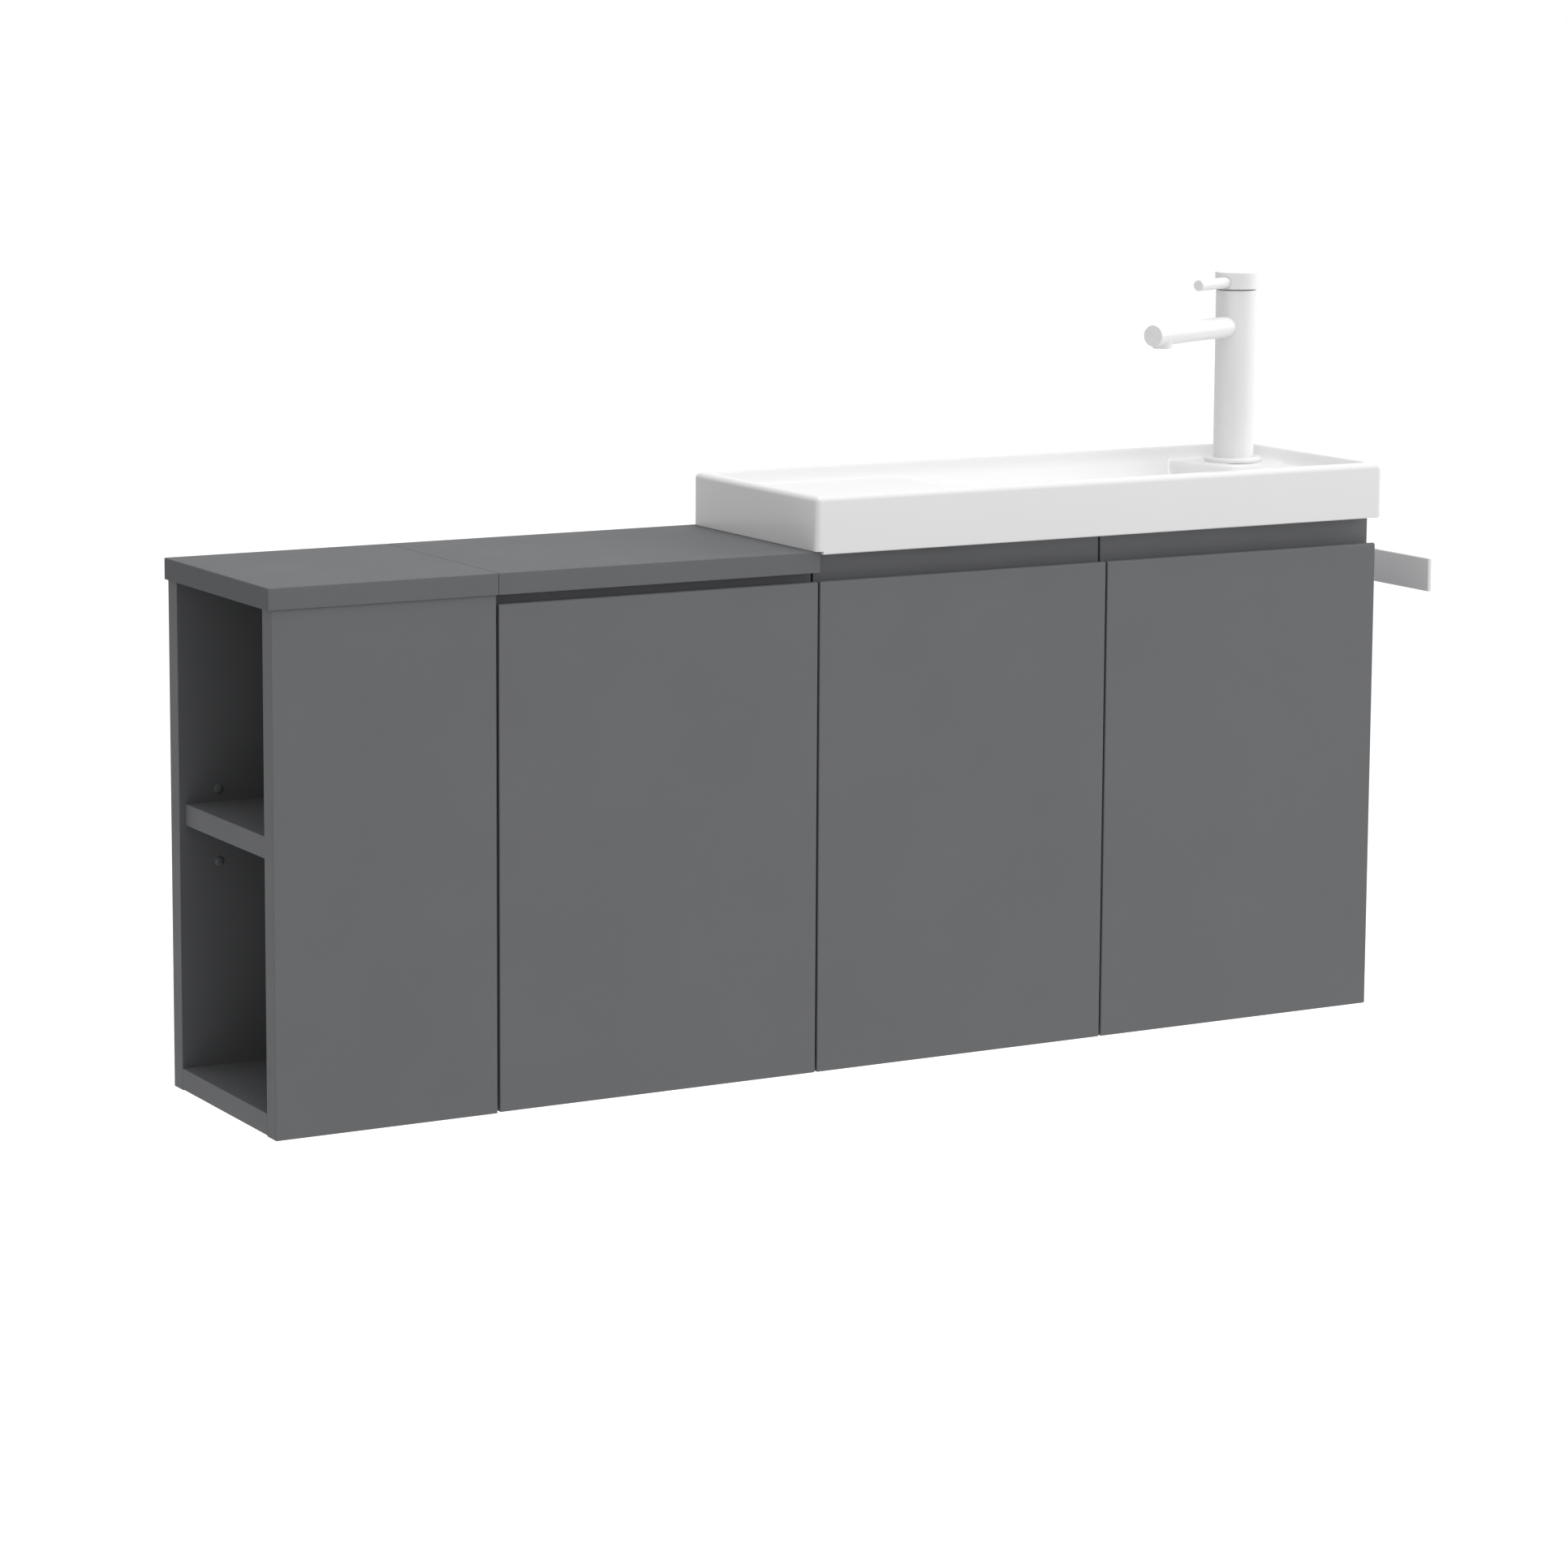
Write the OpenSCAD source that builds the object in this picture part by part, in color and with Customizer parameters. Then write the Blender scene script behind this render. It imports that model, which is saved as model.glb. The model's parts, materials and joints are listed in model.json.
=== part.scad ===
// Wall-hung vanity unit: an open column, a cupboard with one door and a cabinet with two
// doors under a ceramic washbasin, with a pillar tap, a bottle trap and a towel rail.
// The origin is the centre of the basin cabinet's two wall fixings, on the wall plane.
// +X runs along the wall to the right, +Y points into the wall and +Z is up.

/* [Boards] */
// Thickness of every cabinet board
board = 19; // [16:1:22]
// Depth of the cabinets, from the door faces to the wall
depth = 222; // [200:1:280]
// Height of the column and the cupboard, up to the counter's underside
cabinet_h = 448.5; // [420:0.5:560]
// Gap between the carcass front edges and the backs of the doors
door_back_gap = 2; // [1.5:0.5:4]

/* [Widths] */
// Width of the open column
column_w = 208; // [180:1:300]
// Width of the cupboard in the middle
cupboard_w = 313.5; // [280:0.5:420]
// Width of the cabinet under the washbasin
basin_cabinet_w = 602; // [590:1:608]

/* [Doors] */
// Gap between neighbouring doors
door_gap = 2; // [1.6:0.2:4]
// Gap between the column's front panel and the first door
column_gap = 2.5; // [1.6:0.1:4]
// Height of the doors' bottom edges above the cabinets' bottom
door_low = 0.6; // [0:0.1:3]
// Height of the front faces' top edges below the counter's underside
face_drop = 8; // [6:0.5:14]
// Distance of the finger lip behind the front face
lip_back = 13; // [12:0.5:14]
// Thickness of the front face above the bottom of the finger groove
nose_t = 5; // [4:0.5:6]
// Depth of the finger groove below the front face's top edge
groove_h = 16; // [12:0.5:22]
// Gap above the finger lip of each door
lip_gap = 1.9; // [1.2:0.1:3]

/* [Counter] */
// Overhang of the counter in front of the doors
counter_front = 2; // [0:0.5:10]
// Overhang of the counter past the column's left side
counter_left = 3.5; // [0:0.5:10]

/* [Column] */
// Distance from the column's bottom to the underside of its shelf
shelf_z = 235; // [120:1:300]
// Distance of the shelf's front edge behind the column's open side
shelf_back = 5.4; // [2:0.1:20]
// Clearance at each end of the shelf
shelf_clear = 0.5; // [0.3:0.1:1]
// Height of the column's bottom board above the bottom of its front panel
bottom_raise = 0.8; // [0:0.1:3]
// Distance of the first row of shelf pins from the open side
pin_x = 37; // [30:1:60]
// Diameter of a shelf pin
pin_d = 5; // [4:0.5:7]
// Depth of a shelf pin's hole
pin_hole_h = 10; // [8:0.5:12]
// Spacing of the shelf pin holes
pin_pitch = 32; // [25:1:40]

/* [Rails] */
// Height of the lower edge of the boards that are fixed to the wall
wall_rail_low = 283; // [220:1:340]
// Height of the top edge of the low boards at the back
rear_rail_top = 63; // [50:1:110]
// Depth of the flat rail under the counter's front
front_rail_w = 60; // [50:1:90]
// Height of the upright rail behind the basin doors' tops
basin_rail_h = 45; // [35:1:50]

/* [Wall fixings] */
// Distance of the fixing holes below the counter's underside
fixing_drop = 23.5; // [20:0.5:60]
// Diameter of a wall fixing hole
fixing_d = 8; // [6:0.5:10]
// Spacing of the basin cabinet's two fixing holes
basin_fixing_s = 440; // [300:10:480]
// Spacing of the cupboard's two fixing holes
cupboard_fixing_s = 192; // [128:8:208]
// Spacing of the column's two fixing holes
column_fixing_s = 64; // [40:4:80]

/* [Washbasin] */
// Length of the washbasin
basin_l = 610; // [609:1:620]
// Depth of the washbasin from front to back
basin_d = 224.5; // [220:0.5:280]
// Height of the washbasin's outer walls
basin_h = 51; // [48:0.5:70]
// Overhang of the washbasin past the basin cabinet's right side
basin_right = 1; // [0:0.5:4]
// Overhang of the washbasin in front of the doors
basin_front = 6.5; // [2:0.5:12]
// Height of the washbasin's underside above the counter's underside
basin_raise = 16.5; // [12:0.5:18]
// Thickness of the washbasin's rim
rim_t = 10.5; // [9:0.5:14]
// Rounding of the washbasin's outer edges
edge_r = 5; // [3:0.5:7]
// Depth of the side tray and of the tap ledge below the rim
tray_drop = 12.5; // [8:0.5:16]
// Length of the side tray
tray_l = 188; // [120:1:220]
// Drop of the shallow valley between the tray and the right rim
valley_drop = 14; // [8:0.5:17]
// Radius of the bowl's curved front at its upper edge
bowl_r = 166; // [140:1:170]
// Distance of the bowl's centre from the washbasin's left end
bowl_x = 392; // [380:1:396]
// Inward lean of the bowl's wall between its top and its floor
bowl_lean = 10; // [4:0.5:16]
// Thickness of the bowl's floor
floor_t = 9; // [7:0.5:12]
// Radius of the concave back of the bowl
bowl_back_r = 70; // [40:1:90]
// Radius of the tap ledge's curved front
ledge_r = 60; // [56:1:70]
// Thickness of the tray and of the tap ledge
ledge_t = 12; // [10:0.5:14]

/* [Drain] */
// Distance of the waste from the washbasin's left end
waste_x = 404; // [390:1:420]
// Distance of the waste from the washbasin's front
waste_y = 92; // [88:1:110]
// Diameter of the waste's grid plate
grid_d = 63; // [60:1:70]
// Diameter of the hole in the bowl's floor
waste_hole_d = 46; // [44:1:48]
// Height of the trap's outlet above the cabinets' bottom
outlet_z = 240; // [120:1:250]
// Diameter of the trap's tubes
tube_d = 32; // [30:1:34]
// Diameter of the trap's bottle
bottle_d = 62; // [56:1:70]

/* [Tap] */
// Distance of the tap from the washbasin's right end
tap_x = 45; // [42:1:60]
// Distance of the tap from the washbasin's back
tap_y = 46.4; // [44:0.1:60]
// Diameter of the tap's body
tap_d = 38.6; // [34:0.2:44]
// Height of the tap above its ledge
tap_h = 181.5; // [150:0.5:240]
// Diameter of the tap's foot ring
foot_d = 55; // [48:0.5:60]
// Diameter of the turning cap
cap_d = 40.5; // [36:0.5:46]
// Height of the turning cap
cap_h = 17; // [14:0.5:24]
// Height of the spout's centre above the ledge
spout_z = 129.5; // [100:0.5:140]
// Length of the spout from the tap's axis
spout_l = 153; // [110:1:180]
// Diameter of the spout
spout_d = 20; // [16:0.5:24]
// Turn of the spout towards the front, in degrees
spout_turn = 25; // [0:1:60]
// Length of the lever from the tap's axis
lever_l = 71.5; // [50:0.5:90]
// Diameter of the lever
lever_d = 10; // [8:0.5:12]
// Diameter of the threaded inlet
inlet_d = 20.96; // [18:0.02:24]

/* [Towel rail] */
// Thickness of the towel rail's flat bar
rail_t = 4; // [3:0.5:6]
// Height of the towel rail's flat bar
rail_h = 31.5; // [25:0.5:40]
// Height of the bar's lower edge above the cabinets' bottom
rail_z = 388; // [300:1:400]
// Distance from the cabinet's right side to the bar's outer face
rail_out = 76.5; // [50:0.5:100]
// Distance of the bar's front end behind the door faces
rail_front = 14.5; // [0:0.5:60]
// Length of the tab that is screwed to the cabinet's side
rail_tab = 48; // [40:1:80]

/* [Hinges] */
// Diameter of a hinge cup
cup_d = 35; // [34:0.5:36]
// Depth of a hinge cup in the door
cup_h = 12; // [10.5:0.5:12.5]
// Distance from the cup's edge to the door's edge
cup_edge = 5; // [4:0.5:6]
// Height of the lower hinges above the cabinets' bottom
hinge_low = 85; // [70:1:120]
// Distance of the upper hinges below the counter's underside
hinge_high = 100; // [90:1:140]

/* [Hidden] */
$fn = 64;
small = 0.01;

// Left edges of the cabinets, measured from the column's open side
cupboard_x = column_w;
basin_x = cupboard_x + cupboard_w;
right_x = basin_x + basin_cabinet_w;
centre_x = basin_x + basin_cabinet_w / 2;

// Depths, measured from the door faces
carcass_y = board + door_back_gap;
rail_y = depth - board;

// Heights, measured from the cabinets' bottom
bottom_z = bottom_raise;
floor_z = bottom_z + board;
fixing_z = cabinet_h - fixing_drop;
basin_z = cabinet_h + basin_raise;
face_top = cabinet_h - face_drop;
rim_z = basin_z + basin_h;
ledge_z = rim_z - tray_drop;

// Doors: left edge and width of each
cupboard_door_x = cupboard_x + door_gap / 2;
cupboard_door_w = basin_x - door_gap / 2 - cupboard_door_x;
left_door_x = basin_x + door_gap / 2;
basin_door_w = (basin_cabinet_w - 2 * door_gap) / 2;
right_door_x = left_door_x + basin_door_w + door_gap;
column_front_w = cupboard_door_x - column_gap;

// Puts the model's own measures into the part's frame
module place() {
    translate([-centre_x, -depth, -fixing_z]) children();
}

module panel(x0, y0, z0, x1, y1, z1) {
    translate([x0, y0, z0]) cube([x1 - x0, y1 - y0, z1 - z0]);
}

// A round bar from a point along one axis
module bar_x(at, r, l) { translate(at) rotate([0, 90, 0]) cylinder(r = r, h = l); }
module bar_y(at, r, l) { translate(at) rotate([-90, 0, 0]) cylinder(r = r, h = l); }
module bar_z(at, r, l) { translate(at) cylinder(r = r, h = l); }

module tube(outer_r, inner_r, h) {
    difference() {
        cylinder(r = outer_r, h = h);
        translate([0, 0, -1]) cylinder(r = inner_r, h = h + 2);
    }
}

// Dowels: half of each one sits in a board's end and half in the board that it meets
dowel_r = 4;
dowel_l = 30;
dowel_clear = 0.1;
dowel_end = 12;

// A dowel along X whose middle is shifted into the board at its low or high end
module dowel_x(x, y, z, toward, grow) {
    low = toward > 0 ? x - (dowel_l - dowel_end) : x - dowel_end;
    bar_x([low - grow, y, z], dowel_r + grow, dowel_l + 2 * grow);
}
module dowel_y(x, y, z, toward, grow) {
    low = toward > 0 ? y - (dowel_l - dowel_end) : y - dowel_end;
    bar_y([x, low - grow, z], dowel_r + grow, dowel_l + 2 * grow);
}
module dowel_z(x, y, z, toward, grow) {
    low = toward > 0 ? z - (dowel_l - dowel_end) : z - dowel_end;
    bar_z([x, y, low - grow], dowel_r + grow, dowel_l + 2 * grow);
}

// Rows of dowels, as pairs of places along a board's end
side_margin = 32;
end_margin = 60;
rail_margin = 40;
low_margin = 21.5;
basin_margin = 30;
bottom_mid_z = bottom_z + board / 2;
rear_mid_y = depth - board / 2;
carcass_ys = [carcass_y + side_margin, depth - board - side_margin];
column_zs = [end_margin, cabinet_h / 2, cabinet_h - end_margin];

module column_dowels(grow = 0) {
    for (x = [side_margin, column_w - board - side_margin]) {
        dowel_y(x, board, bottom_mid_z, -1, grow);
        dowel_y(x, rail_y, bottom_mid_z, 1, grow);
    }
    for (z = column_zs) {
        dowel_y(column_w - board / 2, board, z, -1, grow);
        dowel_y(column_w - board / 2, rail_y, z, 1, grow);
    }
    for (x = [side_margin, column_w - board - side_margin]) {
        dowel_z(x, board / 2, cabinet_h, 1, grow);
        dowel_z(x, rear_mid_y, cabinet_h, 1, grow);
    }
}

// Dowels of a cabinet whose sides stand at x0 and x1 and whose front rail is given
module carcass_dowels(x0, x1, rail_zs, grow = 0) {
    for (end = [[x0 + board, -1], [x1 - board, 1]]) {
        for (y = carcass_ys) dowel_x(end[0], y, bottom_mid_z, end[1], grow);
        for (z = rail_zs) dowel_x(end[0], rear_mid_y, z, end[1], grow);
    }
}
low_rail_z = floor_z + low_margin;
wall_rail_z = wall_rail_low + rail_margin;
cupboard_rail_zs = [low_rail_z, wall_rail_z, cabinet_h - rail_margin];
basin_rail_zs = [low_rail_z, wall_rail_z, basin_z - basin_margin];

module front_dowels(x0, x1, y, z, grow = 0) {
    dowel_x(x0 + board, y, z, -1, grow);
    dowel_x(x1 - board, y, z, 1, grow);
}
cupboard_front_y = carcass_y + front_rail_w / 2;
module cupboard_dowels(grow = 0) {
    carcass_dowels(cupboard_x, basin_x, cupboard_rail_zs, grow);
    front_dowels(cupboard_x, basin_x, cupboard_front_y, cabinet_h - board / 2, grow);
    for (x = [cupboard_x + board + side_margin, basin_x - board - side_margin]) {
        dowel_z(x, cupboard_front_y, cabinet_h, 1, grow);
        dowel_z(x, rear_mid_y, cabinet_h, 1, grow);
    }
}
module basin_dowels(grow = 0) {
    carcass_dowels(basin_x, right_x, basin_rail_zs, grow);
    front_dowels(basin_x, right_x, carcass_y + board / 2, basin_z - basin_rail_h / 2, grow);
}
module dowels() {
    color("burlywood") place() {
        column_dowels();
        cupboard_dowels();
        basin_dowels();
    }
}

// Screws that draw two neighbouring cabinets together
link_r = 4;
link_head_r = 7.5;
link_head_t = 1.5;
link_bolt_r = 2.5;
link_clear = 0.15;
link_end = 3;
link_blind = 2;
bolt_end = 6;
drive_r = 2;
drive_h = 1.2;
link_front = 50;
link_rear = 60;
link_off_low = 55;
link_off_high = 40;
link_ys = [carcass_y + link_front, depth - link_rear];
link_zs = [hinge_low + link_off_low, cabinet_h - hinge_high + link_off_high];

// Repeats a piece at each joining screw of the two seams, on the right side of each seam
module at_links() {
    for (x = [cupboard_x, basin_x], y = link_ys, z = link_zs)
        translate([x, y, z]) rotate([0, 90, 0]) children();
}
module link_holes() {
    at_links() translate([0, 0, -board - 1]) cylinder(r = link_r + link_clear, h = 2 * board + 2);
}
module connector_sleeves() {
    color("silver") place() at_links() difference() {
        union() {
            translate([0, 0, board]) cylinder(r = link_head_r, h = link_head_t);
            translate([0, 0, link_end - board]) cylinder(r = link_r, h = 2 * board - link_end);
        }
        translate([0, 0, -board])
            cylinder(r = link_bolt_r + link_clear, h = 2 * board - link_blind);
    }
}
module connector_screws() {
    color("silver") place() at_links() difference() {
        union() {
            translate([0, 0, -board - link_head_t]) cylinder(r = link_head_r, h = link_head_t);
            translate([0, 0, -board - small]) cylinder(r = link_bolt_r, h = 2 * board - bolt_end);
        }
        translate([0, 0, -board - link_head_t - 1])
            cylinder(r = drive_r, h = drive_h + 1, $fn = 4);
    }
}

// Wall fixing holes, in pairs about a centre
module fixing_holes(x, spacing) {
    for (side = [-1, 1])
        bar_y([x + side * spacing / 2, rail_y - 1, fixing_z], fixing_d / 2, board + 2);
}
column_fixing_x = column_w - board - side_margin - column_fixing_s / 2;

// The open column
shelf_top = shelf_z + board;
pin_xs = [pin_x, column_w - board - pin_x];
pin_zs = [for (i = [-1 : 1]) shelf_z - pin_d / 2 + i * pin_pitch];
pin_clear = 0.05;

module pin_holes(y, toward) {
    for (x = pin_xs, z = pin_zs)
        bar_y([x, toward > 0 ? y - small : y - pin_hole_h, z], pin_d / 2 + pin_clear,
              pin_hole_h + small);
}
module column_front_panel() {
    color("dimgray") place() difference() {
        panel(0, 0, 0, column_front_w, board, cabinet_h);
        pin_holes(board + small, -1);
        column_dowels(dowel_clear);
    }
}
module column_rear_panel() {
    color("dimgray") place() difference() {
        panel(0, rail_y, 0, column_w, depth, cabinet_h);
        pin_holes(rail_y, 1);
        fixing_holes(column_fixing_x, column_fixing_s);
        column_dowels(dowel_clear);
    }
}
module column_side_panel() {
    color("dimgray") place() difference() {
        panel(column_w - board, board, bottom_z, column_w, rail_y, cabinet_h);
        link_holes();
        column_dowels(dowel_clear);
    }
}
module column_bottom_panel() {
    color("dimgray") place() difference() {
        panel(0, board, bottom_z, column_w - board, rail_y, floor_z);
        column_dowels(dowel_clear);
    }
}
module column_shelf() {
    color("dimgray") place()
        panel(shelf_back, board + shelf_clear, shelf_z,
              column_w - board - shelf_clear, rail_y - shelf_clear, shelf_top);
}
pin_out = 8;
pin_end = 0.5;
module shelf_pins() {
    color("silver") place() for (x = pin_xs) {
        z = shelf_z - pin_d / 2;
        bar_y([x, board - pin_hole_h + pin_end, z], pin_d / 2, pin_hole_h - pin_end + pin_out);
        bar_y([x, rail_y - pin_out, z], pin_d / 2, pin_hole_h - pin_end + pin_out);
    }
}
module column_counter() {
    color("gray") place() difference() {
        panel(-counter_left, -counter_front, cabinet_h, column_w, depth, cabinet_h + board);
        column_dowels(dowel_clear);
    }
}

// Hinges, in a frame whose +X runs from the door's hinged edge across the door
hinge_zs = [hinge_low, cabinet_h - hinge_high];
cup_x = cup_edge + cup_d / 2;
cup_wall = 1.2;
cup_clear = 0.1;
cup_flange_t = 1.2;
cup_flange_l = 26;
cup_lip = 2;
cup_ear_z = 22.5;
ear_r = 5;
side_in = board - door_gap / 2;
plate_back = 37;
plate_y = carcass_y + plate_back;
plate_t = 4.5;
plate_w = 12;
plate_front_l = 27;
plate_rear_l = 18;
plate_wing_t = 3;
screw_half = 16;
screw_r = 2.5;
screw_h = 12;

module at_hinges(edge_x, toward) {
    for (z = hinge_zs)
        translate([edge_x, 0, z]) mirror([toward < 0 ? 1 : 0, 0, 0]) children();
}
module at_cupboard_hinges() { at_hinges(cupboard_door_x + cupboard_door_w, -1) children(); }
module at_left_hinges() { at_hinges(left_door_x, 1) children(); }
module at_right_hinges() { at_hinges(right_door_x + basin_door_w, -1) children(); }
module at_all_hinges() {
    at_cupboard_hinges() children();
    at_left_hinges() children();
    at_right_hinges() children();
}

// The hole that the door gets for a cup
module cup_bore() {
    bar_y([cup_x, board - cup_h, 0], cup_d / 2 + cup_clear, cup_h + 1);
}
module cup() {
    difference() {
        union() {
            bar_y([cup_x, board - cup_h + cup_clear, 0], cup_d / 2, cup_h - cup_clear);
            panel(cup_x - cup_flange_l / 2, board, -cup_ear_z - ear_r,
                  cup_x + cup_flange_l / 2, board + cup_flange_t, cup_ear_z + ear_r);
            bar_y([cup_x, board, 0], cup_d / 2 + cup_lip, cup_flange_t);
        }
        bar_y([cup_x, board - cup_h + cup_wall, 0], cup_d / 2 - cup_wall, cup_h + cup_flange_t);
        for (side = [-1, 1])
            bar_y([cup_x, board - 1, side * cup_ear_z], screw_r, cup_flange_t + 2);
    }
}
module cupboard_hinge_cups() { color("silver") place() at_cupboard_hinges() cup(); }
module left_hinge_cups() { color("silver") place() at_left_hinges() cup(); }
module right_hinge_cups() { color("silver") place() at_right_hinges() cup(); }

// The plate that is screwed to the carcass side, and the arm that clips on it
module hinge_plate() {
    difference() {
        union() {
            panel(side_in, plate_y - plate_front_l, -plate_w / 2,
                  side_in + plate_t, plate_y + plate_rear_l, plate_w / 2);
            panel(side_in, plate_y - plate_w / 2, -screw_half - ear_r,
                  side_in + plate_wing_t, plate_y + plate_w / 2, screw_half + ear_r);
        }
        for (side = [-1, 1])
            bar_x([side_in - 1, plate_y, side * screw_half], screw_r, plate_t + 2);
    }
}
arm_t = 11;
arm_w = 16;
arm_wall = 1.5;
arm_front = 1.5;
arm_step = 2;
arm_nose = 3;
arm_nose_l = 8;
arm_front_l = 28;
arm_flat_l = 10;
arm_tail = 5;
arm_rear_l = 24;

// An arm's profile, drawn in by a wall on three sides and reaching out on its open side
module arm_profile(wall, out) {
    low = side_in + plate_t - out;
    step = side_in + arm_step - out;
    high = side_in + plate_t + arm_t - wall;
    rear_y = plate_y + arm_rear_l - 2 * wall;
    step_y = plate_y - arm_front_l + wall;
    polygon([
        [step, carcass_y + arm_front - out],
        [high - arm_nose, carcass_y + arm_front - out],
        [high, carcass_y + arm_nose_l + wall / 2],
        [high, plate_y + arm_flat_l - wall / 2],
        [high - arm_tail + wall / 2, rear_y],
        [low, rear_y],
        [low, step_y],
        [step, step_y]
    ]);
}
module hinge_arm() {
    difference() {
        translate([0, 0, -arm_w / 2]) linear_extrude(arm_w) arm_profile(0, 0);
        translate([0, 0, -arm_w / 2 + arm_wall])
            linear_extrude(arm_w - 2 * arm_wall) arm_profile(arm_wall, 1);
    }
}
module hinge_plates() { color("silver") place() at_all_hinges() hinge_plate(); }
module hinge_arms() { color("silver") place() at_all_hinges() hinge_arm(); }
module plate_holes() {
    at_all_hinges() for (side = [-1, 1])
        bar_x([side_in - screw_h, plate_y, side * screw_half], screw_r, screw_h + 1);
}

// The cupboard in the middle
module cupboard_left_side() {
    color("dimgray") place() difference() {
        panel(cupboard_x, carcass_y, bottom_z, cupboard_x + board, depth, cabinet_h);
        cupboard_dowels(dowel_clear);
        link_holes();
    }
}
module cupboard_right_side() {
    color("dimgray") place() difference() {
        panel(basin_x - board, carcass_y, bottom_z, basin_x, depth, cabinet_h);
        cupboard_dowels(dowel_clear);
        link_holes();
        plate_holes();
    }
}
module cupboard_bottom() {
    color("dimgray") place() difference() {
        panel(cupboard_x + board, carcass_y, bottom_z, basin_x - board, depth, floor_z);
        cupboard_dowels(dowel_clear);
    }
}
module cupboard_front_rail() {
    color("dimgray") place() difference() {
        panel(cupboard_x + board, carcass_y, cabinet_h - board,
              basin_x - board, carcass_y + front_rail_w, cabinet_h);
        cupboard_dowels(dowel_clear);
    }
}
module cupboard_wall_rail() {
    color("dimgray") place() difference() {
        panel(cupboard_x + board, rail_y, wall_rail_low, basin_x - board, depth, cabinet_h);
        fixing_holes((cupboard_x + basin_x) / 2, cupboard_fixing_s);
        cupboard_dowels(dowel_clear);
    }
}
module cupboard_rear_rail() {
    color("dimgray") place() difference() {
        panel(cupboard_x + board, rail_y, floor_z, basin_x - board, depth, rear_rail_top);
        cupboard_dowels(dowel_clear);
    }
}
module cupboard_counter() {
    color("gray") place() difference() {
        panel(cupboard_x, -counter_front, cabinet_h, basin_x, depth, cabinet_h + board);
        cupboard_dowels(dowel_clear);
    }
}

// A door with a finger groove milled behind its top edge
module door(x, w, lip_top) {
    groove_r = (lip_back - nose_t) / 2;
    nose_r = nose_t / 2;
    translate([x, 0, 0]) rotate([90, 0, 90]) linear_extrude(w) {
        difference() {
            translate([0, door_low]) square([board, lip_top - door_low]);
            translate([-1, face_top - nose_r]) square([nose_t + 1, lip_top]);
            translate([nose_t - small, face_top - groove_h + groove_r])
                square([lip_back - nose_t + small, lip_top]);
            translate([nose_t + groove_r, face_top - groove_h + groove_r]) circle(r = groove_r);
        }
        translate([nose_r, face_top - nose_r]) circle(r = nose_r);
    }
}
module cupboard_door() {
    color("dimgray") place() difference() {
        door(cupboard_door_x, cupboard_door_w, cabinet_h - lip_gap);
        at_cupboard_hinges() cup_bore();
    }
}
module basin_left_door() {
    color("dimgray") place() difference() {
        door(left_door_x, basin_door_w, basin_z - lip_gap);
        at_left_hinges() cup_bore();
    }
}
module basin_right_door() {
    color("dimgray") place() difference() {
        door(right_door_x, basin_door_w, basin_z - lip_gap);
        at_right_hinges() cup_bore();
    }
}

// Soft stops on the carcass edges behind the doors' free sides
bumper_r = 4;
bumper_clear = 0.3;
bumper_in = 40;
bumper_t = door_back_gap - bumper_clear;
module door_bumpers() {
    color("whitesmoke") place() {
        for (z = hinge_zs) bar_y([cupboard_x + board / 2, carcass_y - bumper_t, z], bumper_r, bumper_t);
        for (side = [-1, 1]) {
            x = centre_x + side * bumper_in;
            bar_y([x, carcass_y - bumper_t, bottom_mid_z], bumper_r, bumper_t);
            bar_y([x, carcass_y - bumper_t, basin_z - basin_rail_h / 2], bumper_r, bumper_t);
        }
    }
}

// The cabinet under the washbasin
module basin_left_side() {
    color("dimgray") place() difference() {
        panel(basin_x, carcass_y, bottom_z, basin_x + board, depth, basin_z);
        basin_dowels(dowel_clear);
        link_holes();
        plate_holes();
    }
}
module basin_right_side() {
    color("dimgray") place() difference() {
        panel(right_x - board, carcass_y, bottom_z, right_x, depth, basin_z);
        basin_dowels(dowel_clear);
        plate_holes();
        rail_screw_holes();
    }
}
module basin_bottom() {
    color("dimgray") place() difference() {
        panel(basin_x + board, carcass_y, bottom_z, right_x - board, depth, floor_z);
        basin_dowels(dowel_clear);
    }
}
module basin_front_rail() {
    color("dimgray") place() difference() {
        panel(basin_x + board, carcass_y, basin_z - basin_rail_h,
              right_x - board, carcass_y + board, basin_z);
        basin_dowels(dowel_clear);
    }
}
module basin_wall_rail() {
    color("dimgray") place() difference() {
        panel(basin_x + board, rail_y, wall_rail_low, right_x - board, depth, basin_z);
        fixing_holes(centre_x, basin_fixing_s);
        basin_dowels(dowel_clear);
    }
}
module basin_rear_rail() {
    color("dimgray") place() difference() {
        panel(basin_x + board, rail_y, floor_z, right_x - board, depth, rear_rail_top);
        basin_dowels(dowel_clear);
    }
}

// The washbasin, in a frame at its lower left front corner
basin_x0 = right_x + basin_right - basin_l;
basin_y0 = -basin_front;
tray_z = basin_h - tray_drop;
bowl_y = basin_d - rim_t;
waste_at = [waste_x, waste_y];
tap_at = [basin_l - tap_x, basin_d - tap_y];
ledge_shift = 6;
ledge_back = 18;
ledge_at = [tap_at[0] + ledge_shift, bowl_y - ledge_back];
ledge_lean = 14;
recess_r = 7;
seat_clear = 1;
notch_gap = 0.4;
shell_in = rim_t + 1;
shell_end = 20;
tap_shell_r = 26;

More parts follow.
